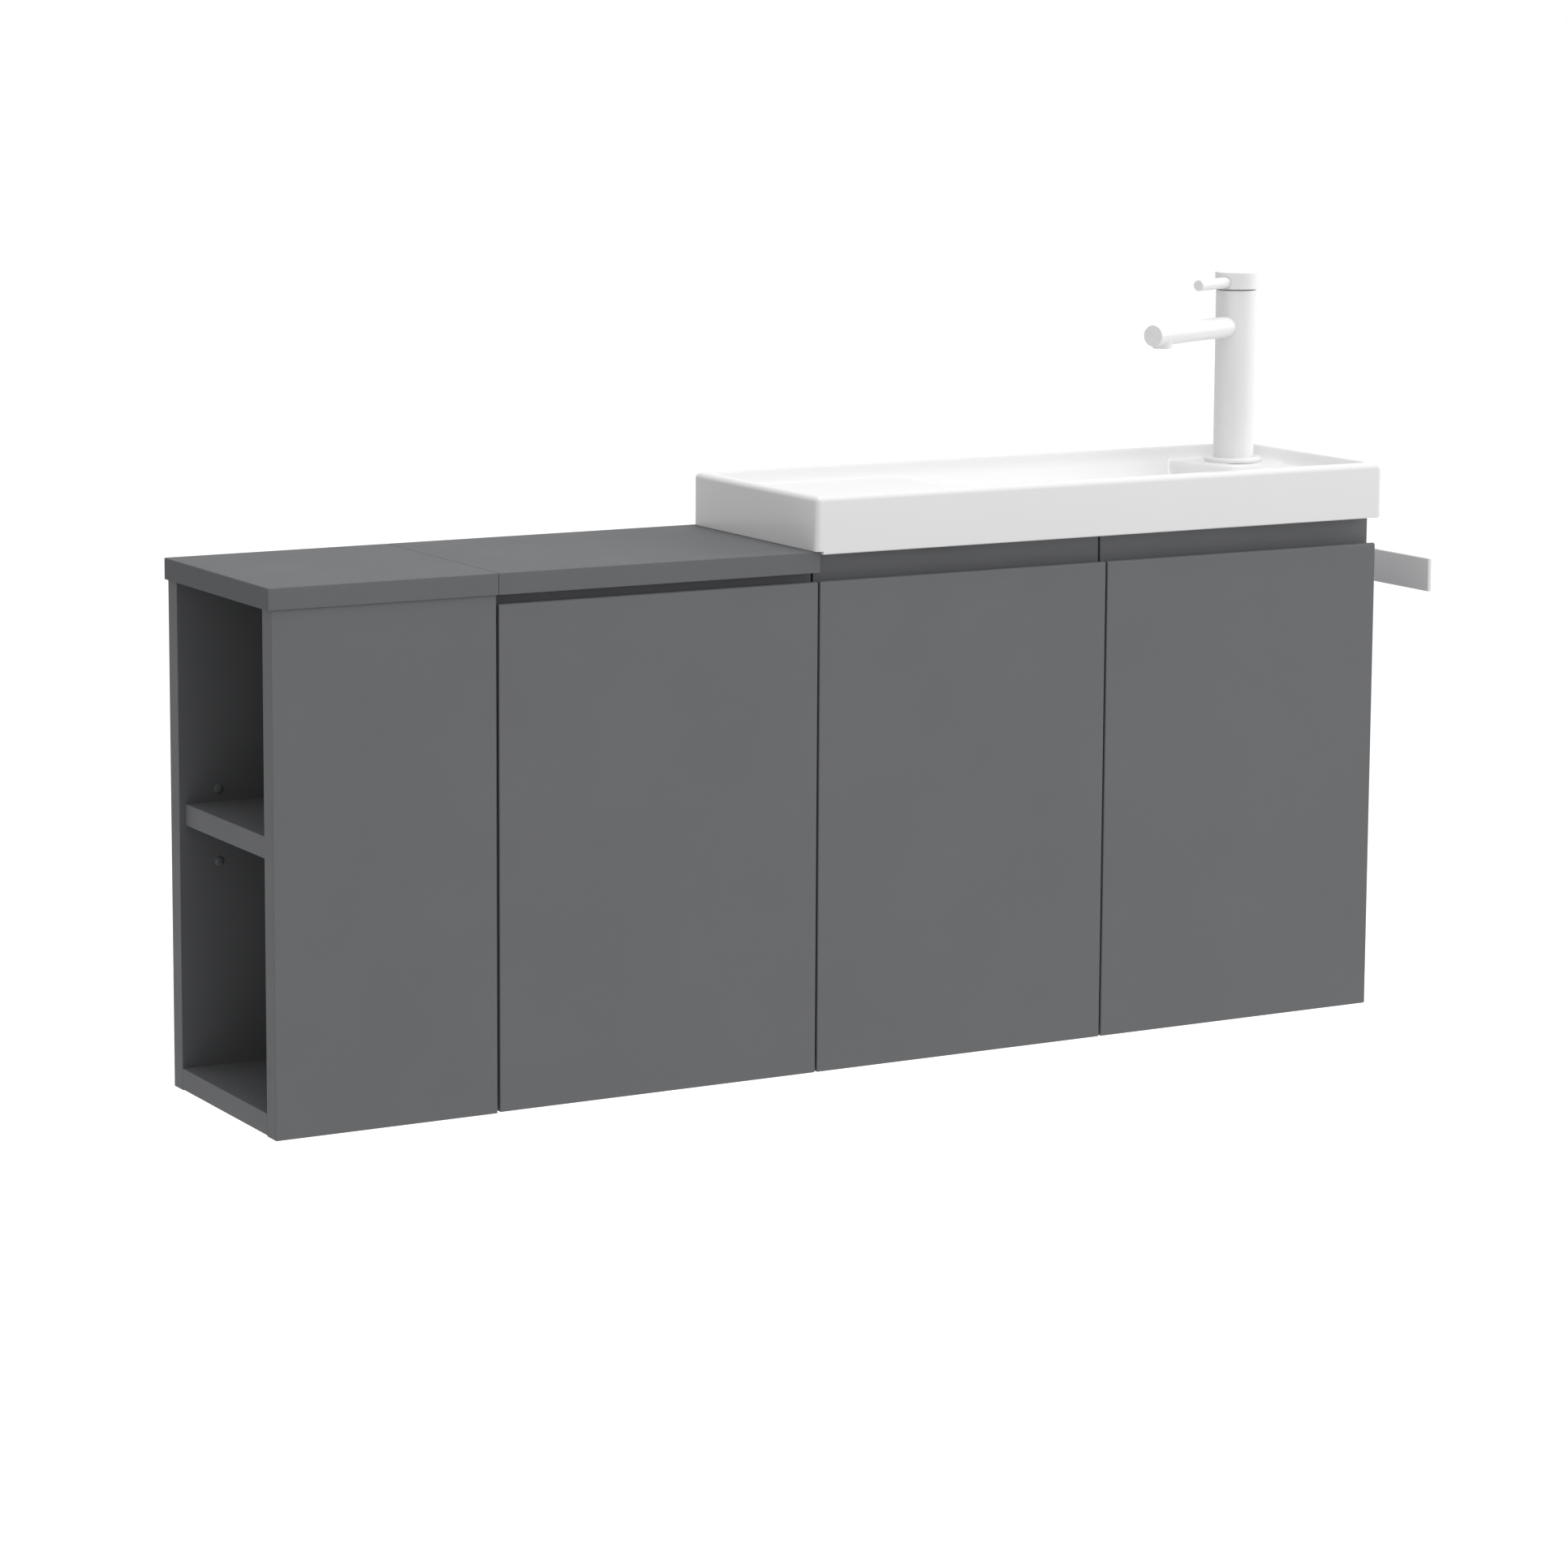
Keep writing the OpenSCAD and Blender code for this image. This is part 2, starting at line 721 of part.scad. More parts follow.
// A slab with upright edges and top edges rounded alike
module soft_slab(l, d, h, r) {
    translate([r, r, 0]) cube([l - 2 * r, d - 2 * r, h]);
    translate([r, 0, 0]) cube([l - 2 * r, d, h - r]);
    translate([0, r, 0]) cube([l, d - 2 * r, h - r]);
    for (x = [r, l - r]) {
        for (y = [r, d - r]) {
            bar_z([x, y, 0], r, h - r);
            translate([x, y, h - r]) sphere(r = r);
        }
        bar_y([x, r, h - r], r, d - 2 * r);
    }
    for (y = [r, d - r]) bar_x([r, y, h - r], r, l - 2 * r);
}
module soft_rect(l, d, r) {
    translate([r, 0]) square([l - 2 * r, d]);
    translate([0, r]) square([l, d - 2 * r]);
    for (x = [r, l - r], y = [r, d - r]) translate([x, y]) circle(r = r);
}
module recess(from_z) {
    translate([rim_t, rim_t, from_z])
        linear_extrude(basin_h) soft_rect(basin_l - 2 * rim_t, basin_d - 2 * rim_t, recess_r);
}

// A shallow cylinder across the basin, lowest half way between the tray and the right rim
module valley() {
    x0 = rim_t + tray_l;
    x1 = basin_l - rim_t;
    half = (x1 - x0) / 2;
    r = (half * half + valley_drop * valley_drop) / (2 * valley_drop);
    intersection() {
        recess(floor_t);
        translate([(x0 + x1) / 2, rim_t, tray_z - valley_drop + r])
            rotate([-90, 0, 0]) cylinder(r = r, h = basin_d - 2 * rim_t, $fn = 720);
    }
}

// The bowl: round in front, concave at the back, with a level floor
module bowl() {
    r_low = bowl_r - bowl_lean;
    depth_top = basin_h - floor_t;
    rise = tray_z - floor_t;
    back_y = bowl_y - sqrt(2 * rise * bowl_back_r - rise * rise);
    intersection() {
        recess(floor_t);
        translate([bowl_x, bowl_y, floor_t])
            cylinder(r1 = r_low, r2 = r_low + bowl_lean * depth_top / rise, h = depth_top, $fn = 180);
        translate([bowl_x - bowl_r - 20, 0, 0]) rotate([90, 0, 90]) linear_extrude(2 * bowl_r + 40)
            difference() {
                translate([0, floor_t]) square([bowl_y, basin_h]);
                difference() {
                    translate([back_y, floor_t - 1]) square([bowl_y - back_y + 1, bowl_back_r]);
                    translate([back_y, floor_t + bowl_back_r]) circle(r = bowl_back_r, $fn = 180);
                }
            }
    }
}
module washbasin() {
    color("white") place() translate([basin_x0, basin_y0, basin_z]) difference() {
        soft_slab(basin_l, basin_d, basin_h, edge_r);
        recess(tray_z);
        difference() {
            union() {
                valley();
                bowl();
            }
            translate([ledge_at[0], ledge_at[1], 0])
                cylinder(r1 = ledge_r + ledge_lean, r2 = ledge_r, h = tray_z, $fn = 180);
        }
        translate([-1, -1, -1])
            cube([basin_x - basin_x0 + notch_gap + 1, basin_d + 2,
                  board - basin_raise + notch_gap + 1]);
        translate([rim_t + shell_end, shell_in, -1])
            cube([tray_l - 2 * shell_end, basin_d - 2 * shell_in, tray_z - ledge_t + 1]);
        translate([tap_at[0], tap_at[1], -1])
            cylinder(r = tap_shell_r, h = tray_z - ledge_t + 1);
        translate([tap_at[0], tap_at[1], 0]) cylinder(r = tap_hole_r, h = basin_h);
        translate([waste_at[0], waste_at[1], -1]) cylinder(r = waste_hole_d / 2, h = basin_h);
        translate([waste_at[0], waste_at[1], floor_t - grid_seat])
            cylinder(r = grid_d / 2 + seat_clear, h = basin_h);
    }
}

// The waste and the bottle trap, in a frame on the waste's axis under the washbasin
grid_t = 2.5;
grid_seat = 2;
grid_hole_r = 2.2;
grid_inner_r = 6;
grid_outer_r = 13;
thread_r = 20.9;
thread_bore = 17.5;
thread_clear = 0.1;
slip_clear = 0.3;
waste_l = 70;
washer_r = 29;
gasket_t = 3;
nut_t = 9;
tube_wall = 1.5;
waste_top = floor_t - grid_seat;
inlet_low = outlet_z - basin_z;
module at_waste() {
    place() translate([basin_x0 + waste_at[0], basin_y0 + waste_at[1], basin_z]) children();
}
module ring_of(count, r) {
    for (i = [0 : count - 1]) rotate(i * 360 / count) translate([r, 0, 0]) children();
}
module waste_body() {
    color("white") at_waste() difference() {
        union() {
            translate([0, 0, waste_top]) cylinder(r = grid_d / 2, h = grid_t);
            translate([0, 0, waste_top - waste_l]) cylinder(r = thread_r, h = waste_l);
        }
        translate([0, 0, waste_top - waste_l - 1]) cylinder(r = thread_bore, h = waste_l + 1);
        for (ring = [[6, grid_inner_r], [12, grid_outer_r]])
            ring_of(ring[0], ring[1]) translate([0, 0, waste_top - 1])
                cylinder(r = grid_hole_r, h = grid_t + 2);
    }
}
module waste_gasket() {
    color("black") at_waste() translate([0, 0, -gasket_t])
        tube(washer_r, thread_r + slip_clear, gasket_t);
}
module hex_nut(r, bore_r, h) {
    difference() {
        cylinder(r = r, h = h, $fn = 6);
        translate([0, 0, -1]) cylinder(r = bore_r, h = h + 2);
    }
}
module waste_nut() {
    color("lightgray") at_waste() translate([0, 0, -gasket_t - nut_t])
        hex_nut(washer_r, thread_r + thread_clear, nut_t);
}

// Heights below the washbasin's underside
waste_low = waste_top - waste_l;
trap_half_h = 30;
body_top = inlet_low + trap_half_h;
body_low = inlet_low - trap_half_h;
bottle_h = 70;
bottle_low = body_low - bottle_h;
bottle_wall = 3;
bottle_spigot = 10;
cap_nut_h = 20;
cap_nut_wall = 4;
cap_nut_low = 6;
cap_nut_floor = 3.5;
slip_nut_h = 9;
slip_nut_wall = 9;
neck_h = 8;
neck_wall = 5;
outlet_wall = 4;
outlet_l = 12;
outlet_fit = 0.2;
tube_in = 8;
tube_start = 2;
tube_dip = 25;
tube_flange_t = 2.5;
tube_r = tube_d / 2;
bottle_r = bottle_d / 2;
module trap_inlet_tube() {
    color("lightgray") at_waste() {
        translate([0, 0, body_low - tube_dip])
            tube(tube_r, tube_r - tube_wall, waste_low + tube_in - body_low + tube_dip);
        translate([0, 0, waste_low - tube_flange_t])
            tube(thread_r - 1, tube_r - tube_wall, tube_flange_t);
    }
}
module trap_body() {
    body_h = body_top - body_low;
    color("lightgray") at_waste() difference() {
        union() {
            translate([0, 0, body_low]) cylinder(r = bottle_r, h = body_h - neck_h);
            translate([0, 0, body_top - neck_h - small]) cylinder(r = tube_r + neck_wall, h = neck_h);
            bar_y([0, 0, inlet_low], tube_r + outlet_wall, bottle_r + outlet_l);
        }
        translate([0, 0, body_low - 1])
            cylinder(r = bottle_r - bottle_wall, h = body_h - neck_h - bottle_wall + 1);
        translate([0, 0, body_low]) cylinder(r = tube_r + thread_clear, h = body_h + 1);
        bar_y([0, 0, inlet_low], tube_r + thread_clear, bottle_r + outlet_l + 1);
    }
}
module trap_bottle() {
    spigot_r = bottle_r - bottle_wall - slip_clear;
    color("lightgray") at_waste() difference() {
        union() {
            translate([0, 0, bottle_low]) cylinder(r = bottle_r, h = body_low - bottle_low);
            translate([0, 0, body_low]) cylinder(r = spigot_r, h = bottle_spigot);
        }
        translate([0, 0, bottle_low + bottle_wall])
            cylinder(r = spigot_r - bottle_wall, h = bottle_h + bottle_spigot);
    }
}
module trap_nuts() {
    color("lightgray") at_waste() {
        translate([0, 0, waste_low - cap_nut_low]) difference() {
            cylinder(r = thread_r + cap_nut_wall, h = cap_nut_h);
            translate([0, 0, -1]) cylinder(r = tube_r + slip_clear, h = cap_nut_floor + 2);
            translate([0, 0, cap_nut_floor]) cylinder(r = thread_r + thread_clear, h = cap_nut_h);
        }
        translate([0, 0, body_top - small])
            tube(tube_r + slip_nut_wall, tube_r + slip_clear, slip_nut_h);
        translate([0, bottle_r + outlet_l, inlet_low]) rotate([-90, 0, 0])
            tube(tube_r + slip_nut_wall - 1, tube_r + slip_clear, slip_nut_h);
    }
}
module trap_outlet_tube() {
    y0 = bottle_r - tube_start;
    y1 = bottle_r + outlet_l + slip_nut_h + 1;
    y2 = depth - (basin_y0 + waste_at[1]);
    color("lightgray") at_waste() translate([0, 0, inlet_low]) rotate([-90, 0, 0]) difference() {
        union() {
            translate([0, 0, y0]) cylinder(r = tube_r - outlet_fit, h = y2 - y0);
            translate([0, 0, y1]) cylinder(r = tube_r, h = y2 - y1);
        }
        translate([0, 0, y0 - 1]) cylinder(r = tube_r - tube_wall, h = y2 - y0 + 2);
    }
}

// The tap, in a frame on its axis and on the ledge that it stands on
tap_hole_r = 17.5;
foot_h = 4;
body_top_z = tap_h - cap_h;
cap_gap = 0.4;
foot_edge_r = 2;
water_r = 10.3;
inlet_up = 20;
module at_tap() {
    place() translate([basin_x0 + tap_at[0], basin_y0 + tap_at[1], ledge_z]) children();
}
// The direction of the spout, which points left and to the front
module along_spout() { rotate(180 + spout_turn) children(); }

module tap_foot() {
    color("white") at_tap() rotate_extrude() {
        difference() {
            square([foot_d / 2, foot_h]);
            square([tap_d / 2 + thread_clear, foot_h + 1]);
            translate([foot_d / 2 - foot_edge_r, foot_h - foot_edge_r]) square(foot_edge_r + 1);
        }
        translate([foot_d / 2 - foot_edge_r, foot_h - foot_edge_r]) circle(r = foot_edge_r);
    }
}
cartridge_r = 12;
cartridge_h = 42;
cartridge_low = body_top_z - cartridge_h;
module tap_body() {
    color("white") at_tap() difference() {
        cylinder(r = tap_d / 2, h = body_top_z);
        translate([0, 0, cartridge_low])
            cylinder(r = cartridge_r + thread_clear, h = cartridge_h + 1);
        translate([0, 0, inlet_up]) cylinder(r = water_r, h = cartridge_low - inlet_up + 1);
        translate([0, 0, -1]) cylinder(r = inlet_d / 2 + thread_clear, h = inlet_up + 2);
        along_spout() bar_x([0, 0, spout_z], spout_d / 2 + thread_clear, tap_d);
    }
}
spout_r = spout_d / 2;
spout_wall = 3;
spout_out = 4;
outlet_x = spout_l - spout_r - 1;
outlet_r = spout_r - 2;
aerator_r = spout_r - 4;
aerator_h = 7;
jet_r = 0.9;
jet_pitch = 3;
module tap_spout() {
    root = cartridge_r + 2 * slip_clear;
    color("white") at_tap() along_spout() translate([0, 0, spout_z]) difference() {
        union() {
            bar_x([root, 0, 0], spout_r, spout_l - root);
            bar_z([outlet_x, 0, -spout_r - spout_out], outlet_r, spout_r + spout_out);
        }
        bar_x([root - 1, 0, 0], spout_r - spout_wall, spout_l - root - spout_wall);
        bar_z([outlet_x, 0, -spout_r - spout_out - 1], aerator_r, spout_r + spout_out + 1);
    }
}
module tap_aerator() {
    color("silver") at_tap() along_spout() translate([outlet_x, 0, spout_z - spout_r - spout_out]) {
        difference() {
            cylinder(r = aerator_r - thread_clear, h = aerator_h);
            for (i = [-1 : 1], j = [-1 : 1])
                translate([i * jet_pitch, j * jet_pitch, -1]) cylinder(r = jet_r, h = aerator_h + 2);
        }
    }
}
spindle_r = 4;
spindle_l = 29;
spindle_low = 19.5;
spindle_bore_h = 20;
cartridge_top = 2;
cartridge_water_r = 7;
cartridge_water_h = 15;
module tap_cartridge() {
    color("goldenrod") at_tap() translate([0, 0, cartridge_low]) difference() {
        cylinder(r = cartridge_r, h = cartridge_h - cartridge_top);
        translate([0, 0, cartridge_h - spindle_bore_h])
            cylinder(r = spindle_r + slip_clear, h = spindle_bore_h);
        translate([0, 0, -1]) cylinder(r = cartridge_water_r, h = cartridge_water_h + 1);
    }
}
module tap_spindle() {
    color("silver") at_tap() translate([0, 0, body_top_z - spindle_low])
        cylinder(r = spindle_r, h = spindle_l);
}

// The cap turns with the lever that is pressed into it
press = 0.05;
cap_edge_r = 1;
cap_bore_h = 10;
lever_low = 1.5;
lever_seat = 4;
lever_in = 0.3;
lever_mid = cap_h / 2 - lever_low;
module tap_cap() {
    r = cap_d / 2;
    h = cap_h - cap_gap;
    color("white") at_tap() translate([0, 0, body_top_z + cap_gap]) difference() {
        rotate_extrude() {
            square([r, h - cap_edge_r]);
            square([r - cap_edge_r, h]);
            translate([r - cap_edge_r, h - cap_edge_r]) circle(r = cap_edge_r);
        }
        translate([0, 0, -1]) cylinder(r = spindle_r + press, h = cap_bore_h + 1);
        along_spout() bar_x([spindle_r + lever_seat, 0, lever_mid], lever_d / 2 + press, cap_d);
    }
}
module tap_lever() {
    r = lever_d / 2;
    start = spindle_r + lever_seat + lever_in;
    l = lever_l - start;
    color("white") at_tap() along_spout()
        translate([start, 0, lever_mid + body_top_z + cap_gap]) rotate([0, 90, 0])
        rotate_extrude() {
            square([r, l - cap_edge_r]);
            square([r - cap_edge_r, l]);
            translate([r - cap_edge_r, l - cap_edge_r]) circle(r = cap_edge_r);
        }
}
inlet_l = 66;
inlet_free = 22;
inlet_bore_r = 7;
inlet_relief = 0.3;
tap_washer_r = 22;
tap_nut_r = 17;
tap_nut_t = 8;
module tap_inlet() {
    color("silver") at_tap() translate([0, 0, inlet_up - inlet_l]) difference() {
        union() {
            cylinder(r = inlet_d / 2 - inlet_relief, h = inlet_l);
            cylinder(r = inlet_d / 2, h = inlet_free);
        }
        translate([0, 0, -1]) cylinder(r = inlet_bore_r, h = inlet_l + 2);
    }
}
module tap_gasket() {
    color("black") at_tap() translate([0, 0, -ledge_t - gasket_t])
        tube(tap_washer_r, inlet_d / 2 + slip_clear, gasket_t);
}
module tap_nut() {
    color("goldenrod") at_tap() translate([0, 0, -ledge_t - gasket_t - tap_nut_t])
        hex_nut(tap_nut_r, inlet_d / 2 + press, tap_nut_t);
}

// The towel rail: a tab on the cabinet's side, an arm along the wall and the free bar
rail_wall_gap = 0.2;
rail_back = depth - rail_wall_gap;
rail_x1 = right_x + rail_out;
rail_mid_z = rail_z + rail_h / 2;
bend_r = 6;
rail_screw_r = 2;
rail_screw_l = 15;
rail_head_r = 4.5;
rail_head_t = 2.2;
rail_drive_r = 1.8;
rail_screw_front = 12;
rail_screw_rear = 16;
rail_screw_ys = [rail_back - rail_tab + rail_screw_front, rail_back - rail_screw_rear];
module rail_screw_holes() {
    for (y = rail_screw_ys)
        bar_x([right_x - rail_screw_l - 1, y, rail_mid_z], rail_screw_r + thread_clear,
              rail_screw_l + 2);
}
// A quarter bend of the flat bar about a centre, filling one quadrant
module bend(at, quadrant) {
    translate(at) rotate(quadrant * 90) intersection() {
        difference() {
            circle(r = bend_r);
            circle(r = bend_r - rail_t);
        }
        square(bend_r + 1);
    }
}
module towel_rail() {
    color("white") place() difference() {
        translate([0, 0, rail_z]) linear_extrude(rail_h) {
            translate([right_x, rail_back - rail_tab]) square([rail_t, rail_tab - bend_r]);
            translate([right_x + bend_r, rail_back - rail_t])
                square([rail_out - 2 * bend_r, rail_t]);
            translate([rail_x1 - rail_t, rail_front])
                square([rail_t, rail_back - bend_r - rail_front]);
            bend([right_x + bend_r, rail_back - bend_r], 1);
            bend([rail_x1 - bend_r, rail_back - bend_r], 0);
        }
        for (y = rail_screw_ys)
            bar_x([right_x - 1, y, rail_mid_z], rail_screw_r + thread_clear, rail_t + 2);
    }
}
module rail_screws() {
    color("silver") place() for (y = rail_screw_ys) translate([right_x, y, rail_mid_z])
        rotate([0, 90, 0]) difference() {
            union() {
                translate([0, 0, -rail_screw_l]) cylinder(r = rail_screw_r, h = rail_screw_l + rail_t);
                translate([0, 0, rail_t]) cylinder(r = rail_head_r, h = rail_head_t);
            }
            translate([0, 0, rail_t + 1]) cylinder(r = rail_drive_r, h = rail_head_t, $fn = 4);
        }
}

column_front_panel();
column_rear_panel();
column_side_panel();
column_bottom_panel();
column_shelf();
shelf_pins();
column_counter();
cupboard_left_side();
cupboard_right_side();
cupboard_bottom();
cupboard_front_rail();
cupboard_wall_rail();
cupboard_rear_rail();
cupboard_counter();
cupboard_door();
basin_left_side();
basin_right_side();
basin_bottom();
basin_front_rail();
basin_wall_rail();
basin_rear_rail();
basin_left_door();
basin_right_door();
dowels();
connector_sleeves();
connector_screws();
door_bumpers();
hinge_plates();
hinge_arms();
cupboard_hinge_cups();
left_hinge_cups();
right_hinge_cups();
washbasin();
waste_body();
waste_gasket();
waste_nut();
trap_inlet_tube();
trap_nuts();
trap_body();
trap_bottle();
trap_outlet_tube();
tap_foot();
tap_body();
tap_spout();
tap_aerator();
tap_cartridge();
tap_spindle();
tap_cap();
tap_lever();
tap_inlet();
tap_gasket();
tap_nut();
towel_rail();
rail_screws();
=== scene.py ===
# Wall-hung vanity unit: finishes, detailed pieces, studio and camera, all in metres
import json
from math import atan2, cos, degrees, dist, hypot, pi, radians, sin, sqrt
import bpy
from mathutils import Matrix, Vector


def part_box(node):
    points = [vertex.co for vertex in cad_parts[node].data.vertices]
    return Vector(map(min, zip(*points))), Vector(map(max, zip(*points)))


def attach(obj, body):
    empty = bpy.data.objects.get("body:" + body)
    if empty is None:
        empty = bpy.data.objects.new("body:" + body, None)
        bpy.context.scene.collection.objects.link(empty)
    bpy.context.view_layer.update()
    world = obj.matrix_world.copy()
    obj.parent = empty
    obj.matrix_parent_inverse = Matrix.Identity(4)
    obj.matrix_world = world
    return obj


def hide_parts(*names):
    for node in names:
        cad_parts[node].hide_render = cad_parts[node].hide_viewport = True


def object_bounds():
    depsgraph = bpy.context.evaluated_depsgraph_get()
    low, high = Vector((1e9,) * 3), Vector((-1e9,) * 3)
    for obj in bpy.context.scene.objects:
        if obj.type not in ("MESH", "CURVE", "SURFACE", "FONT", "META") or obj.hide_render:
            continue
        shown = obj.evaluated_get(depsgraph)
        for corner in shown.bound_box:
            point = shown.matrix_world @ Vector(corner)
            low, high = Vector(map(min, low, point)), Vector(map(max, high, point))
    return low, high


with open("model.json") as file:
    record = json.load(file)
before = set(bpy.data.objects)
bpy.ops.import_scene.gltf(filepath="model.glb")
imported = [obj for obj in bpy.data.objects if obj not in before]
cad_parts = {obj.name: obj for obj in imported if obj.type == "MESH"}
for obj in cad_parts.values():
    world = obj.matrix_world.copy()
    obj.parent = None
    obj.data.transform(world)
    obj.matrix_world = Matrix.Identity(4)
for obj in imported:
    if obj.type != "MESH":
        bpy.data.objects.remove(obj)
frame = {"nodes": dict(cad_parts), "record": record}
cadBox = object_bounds()
cadNodes = frame["nodes"]
scene = bpy.context.scene
print("frame loaded:", len(cadNodes), "pieces")


def sRgb(red, green, blue):
    # screen colour as Blender's linear one
    return tuple(
        ((c / 255 + 0.055) / 1.055) ** 2.4 if c > 10.31 else c / 255 / 12.92
        for c in (red, green, blue)
    ) + (1.0,)


# camera: fitted to the photograph's corners

cameraView = {
    "place": (-2.372, -3.7941, 0.569),
    "yaw": 28.72395,  # degrees from looking along +Y towards +X
    "pitch": -8.18788,
    "roll": 0.1924,
    "lens": 109.179,  # millimetres, as is the sensor's width
    "sensor": 36,
    "shift": (0.05, -0.1),
    "clip": (0.05, 60),
}


def makeCamera(values):
    yaw, pitch, roll = (radians(values[k]) for k in ("yaw", "pitch", "roll"))
    ahead = Vector((
        sin(yaw) * cos(pitch),
        cos(yaw) * cos(pitch),
        sin(pitch),
    ))
    right = Vector((cos(yaw), -sin(yaw), 0.0))
    up = right.cross(ahead)
    side = right * cos(roll) + up * sin(roll)
    top = up * cos(roll) - right * sin(roll)
    turn = Matrix((side, top, -ahead)).transposed()
    bpy.ops.object.camera_add()
    camera = bpy.context.object
    camera.name = "studioCamera"
    camera.location = values["place"]
    camera.rotation_euler = turn.to_euler()
    camera.data.sensor_width = values["sensor"]
    camera.data.lens = values["lens"]
    camera.data.shift_x, camera.data.shift_y = values["shift"]
    camera.data.clip_start, camera.data.clip_end = values["clip"]
    scene.camera = camera


makeCamera(cameraView)
print("camera placed")


# shader groups shared by the finishes

number, colour, direction = "NodeSocketFloat", "NodeSocketColor", "NodeSocketVector"

# places of a Mix node's inputs and outputs
mixFactor, mixNumber, mixOtherNumber, mixTone, mixOtherTone = 0, 2, 3, 6, 7
mixedNumber, mixedTone = 0, 2


def setSockets(tree, node, sockets):
    # each input takes another node's output or a value of its own
    for key, value in sockets.items():
        if isinstance(value, bpy.types.NodeSocket):
            tree.links.new(value, node.inputs[key])
        else:
            node.inputs[key].default_value = value
    return node


def addNode(tree, kind, sockets=None, **settings):
    node = tree.nodes.new(kind)
    for key, value in settings.items():
        setattr(node, key, value)
    return setSockets(tree, node, sockets or {})


class Group:
    # a node group under construction
    def __init__(self, name, inputs, outputs):
        self.tree = bpy.data.node_groups.new(name, "ShaderNodeTree")
        for side, sockets in (("INPUT", inputs), ("OUTPUT", outputs)):
            for label, kind in sockets.items():
                self.tree.interface.new_socket(label, in_out=side, socket_type=kind)
        self.start = self.tree.nodes.new("NodeGroupInput")
        self.end = self.tree.nodes.new("NodeGroupOutput")
        self.where = self.add("ShaderNodeTexCoord").outputs["Object"]

    def add(self, kind, sockets=None, **settings):
        return addNode(self.tree, kind, sockets, **settings)

    def take(self, label):
        return self.start.outputs[label]

    def give(self, label, socket):
        self.tree.links.new(socket, self.end.inputs[label])

    def noise(self, scale, detail, roughness=0.5, where=None):
        # noise whose scale is one of the group's inputs
        sockets = {
            "Vector": where or self.where,
            "Scale": self.take(scale),
            "Detail": detail,
            "Roughness": roughness,
        }
        return self.add("ShaderNodeTexNoise", sockets).outputs["Fac"]

    def blend(self, share, value, other):
        # two values mixed by one of the group's inputs
        sockets = {mixFactor: self.take(share), mixNumber: value, mixOtherNumber: other}
        return self.add("ShaderNodeMix", sockets, data_type="FLOAT").outputs[mixedNumber]

    def stretch(self, value, low, high, targets=None):
        # the span from low to high drawn out from 0 to 1, or to the targets
        sockets = {"Value": value, "From Min": low, "From Max": high, **(targets or {})}
        return self.add("ShaderNodeMapRange", sockets).outputs["Result"]


def makeMottle():
    # two close tones drifting over the surface, with finer specks on top
    tones = {"Tone": colour, "Other Tone": colour}
    sizes = {"Scale": number, "Speck Scale": number, "Speck": number}
    group = Group("mottle", {**tones, **sizes}, {"Color": colour})
    drift = group.noise("Scale", detail=3.0)
    specks = group.noise("Speck Scale", detail=2.0)
    mask = group.stretch(group.blend("Speck", drift, specks), low=0.35, high=0.65)
    first, second = (group.take(label) for label in tones)
    mix = {mixFactor: mask, mixTone: first, mixOtherTone: second}
    mixed = group.add("ShaderNodeMix", mix, data_type="RGBA")
    group.give("Color", mixed.outputs[mixedTone])
    return group.tree


def makePatchyGloss():
    # roughness that wanders between two values
    inputs = {"Low": number, "High": number, "Scale": number}
    group = Group("patchyGloss", inputs, {"Roughness": number})
    patches = group.noise("Scale", detail=4.0, roughness=0.6)
    targets = {"To Min": group.take("Low"), "To Max": group.take("High")}
    group.give("Roughness", group.stretch(patches, low=0.3, high=0.7, targets=targets))
    return group.tree


def makeSprayGrain():
    # height of a sprayed or moulded skin: fine cells over a slow wave
    inputs = {"Cell Scale": number, "Wave Scale": number, "Wave": number}
    group = Group("sprayGrain", inputs, {"Height": number})
    cells = group.noise("Cell Scale", detail=2.0, roughness=0.6)
    wave = group.noise("Wave Scale", detail=1.0)
    group.give("Height", group.blend("Wave", cells, wave))
    return group.tree


def makeLongGrain():
    # fibres or brush lines drawn out along one axis
    group = Group("longGrain", {"Stretch": direction, "Scale": number}, {"Mask": number})
    drawn = group.add("ShaderNodeMapping", {"Vector": group.where, "Scale": group.take("Stretch")})
    lines = group.noise("Scale", detail=5.0, roughness=0.65, where=drawn.outputs["Vector"])
    group.give("Mask", group.stretch(lines, low=0.3, high=0.7))
    return group.tree


mottle, patchyGloss = makeMottle(), makePatchyGloss()
sprayGrain, longGrain = makeSprayGrain(), makeLongGrain()
print("shader groups made")


# finishes: a value that a finish doesn't name is taken from the common ones

commonValues = {
    "driftScale": 9.0,
    "speckScale": 900.0,
    "speck": 0.5,
    "grain": None,
    "grainScale": 300.0,
    "glossScale": 14.0,
    "cellScale": 1100.0,
    "waveScale": 25.0,
    "wave": 0.3,
    "bump": 0.1,
    "depth": 0.0002,  # metres
    "fixed": {},
}


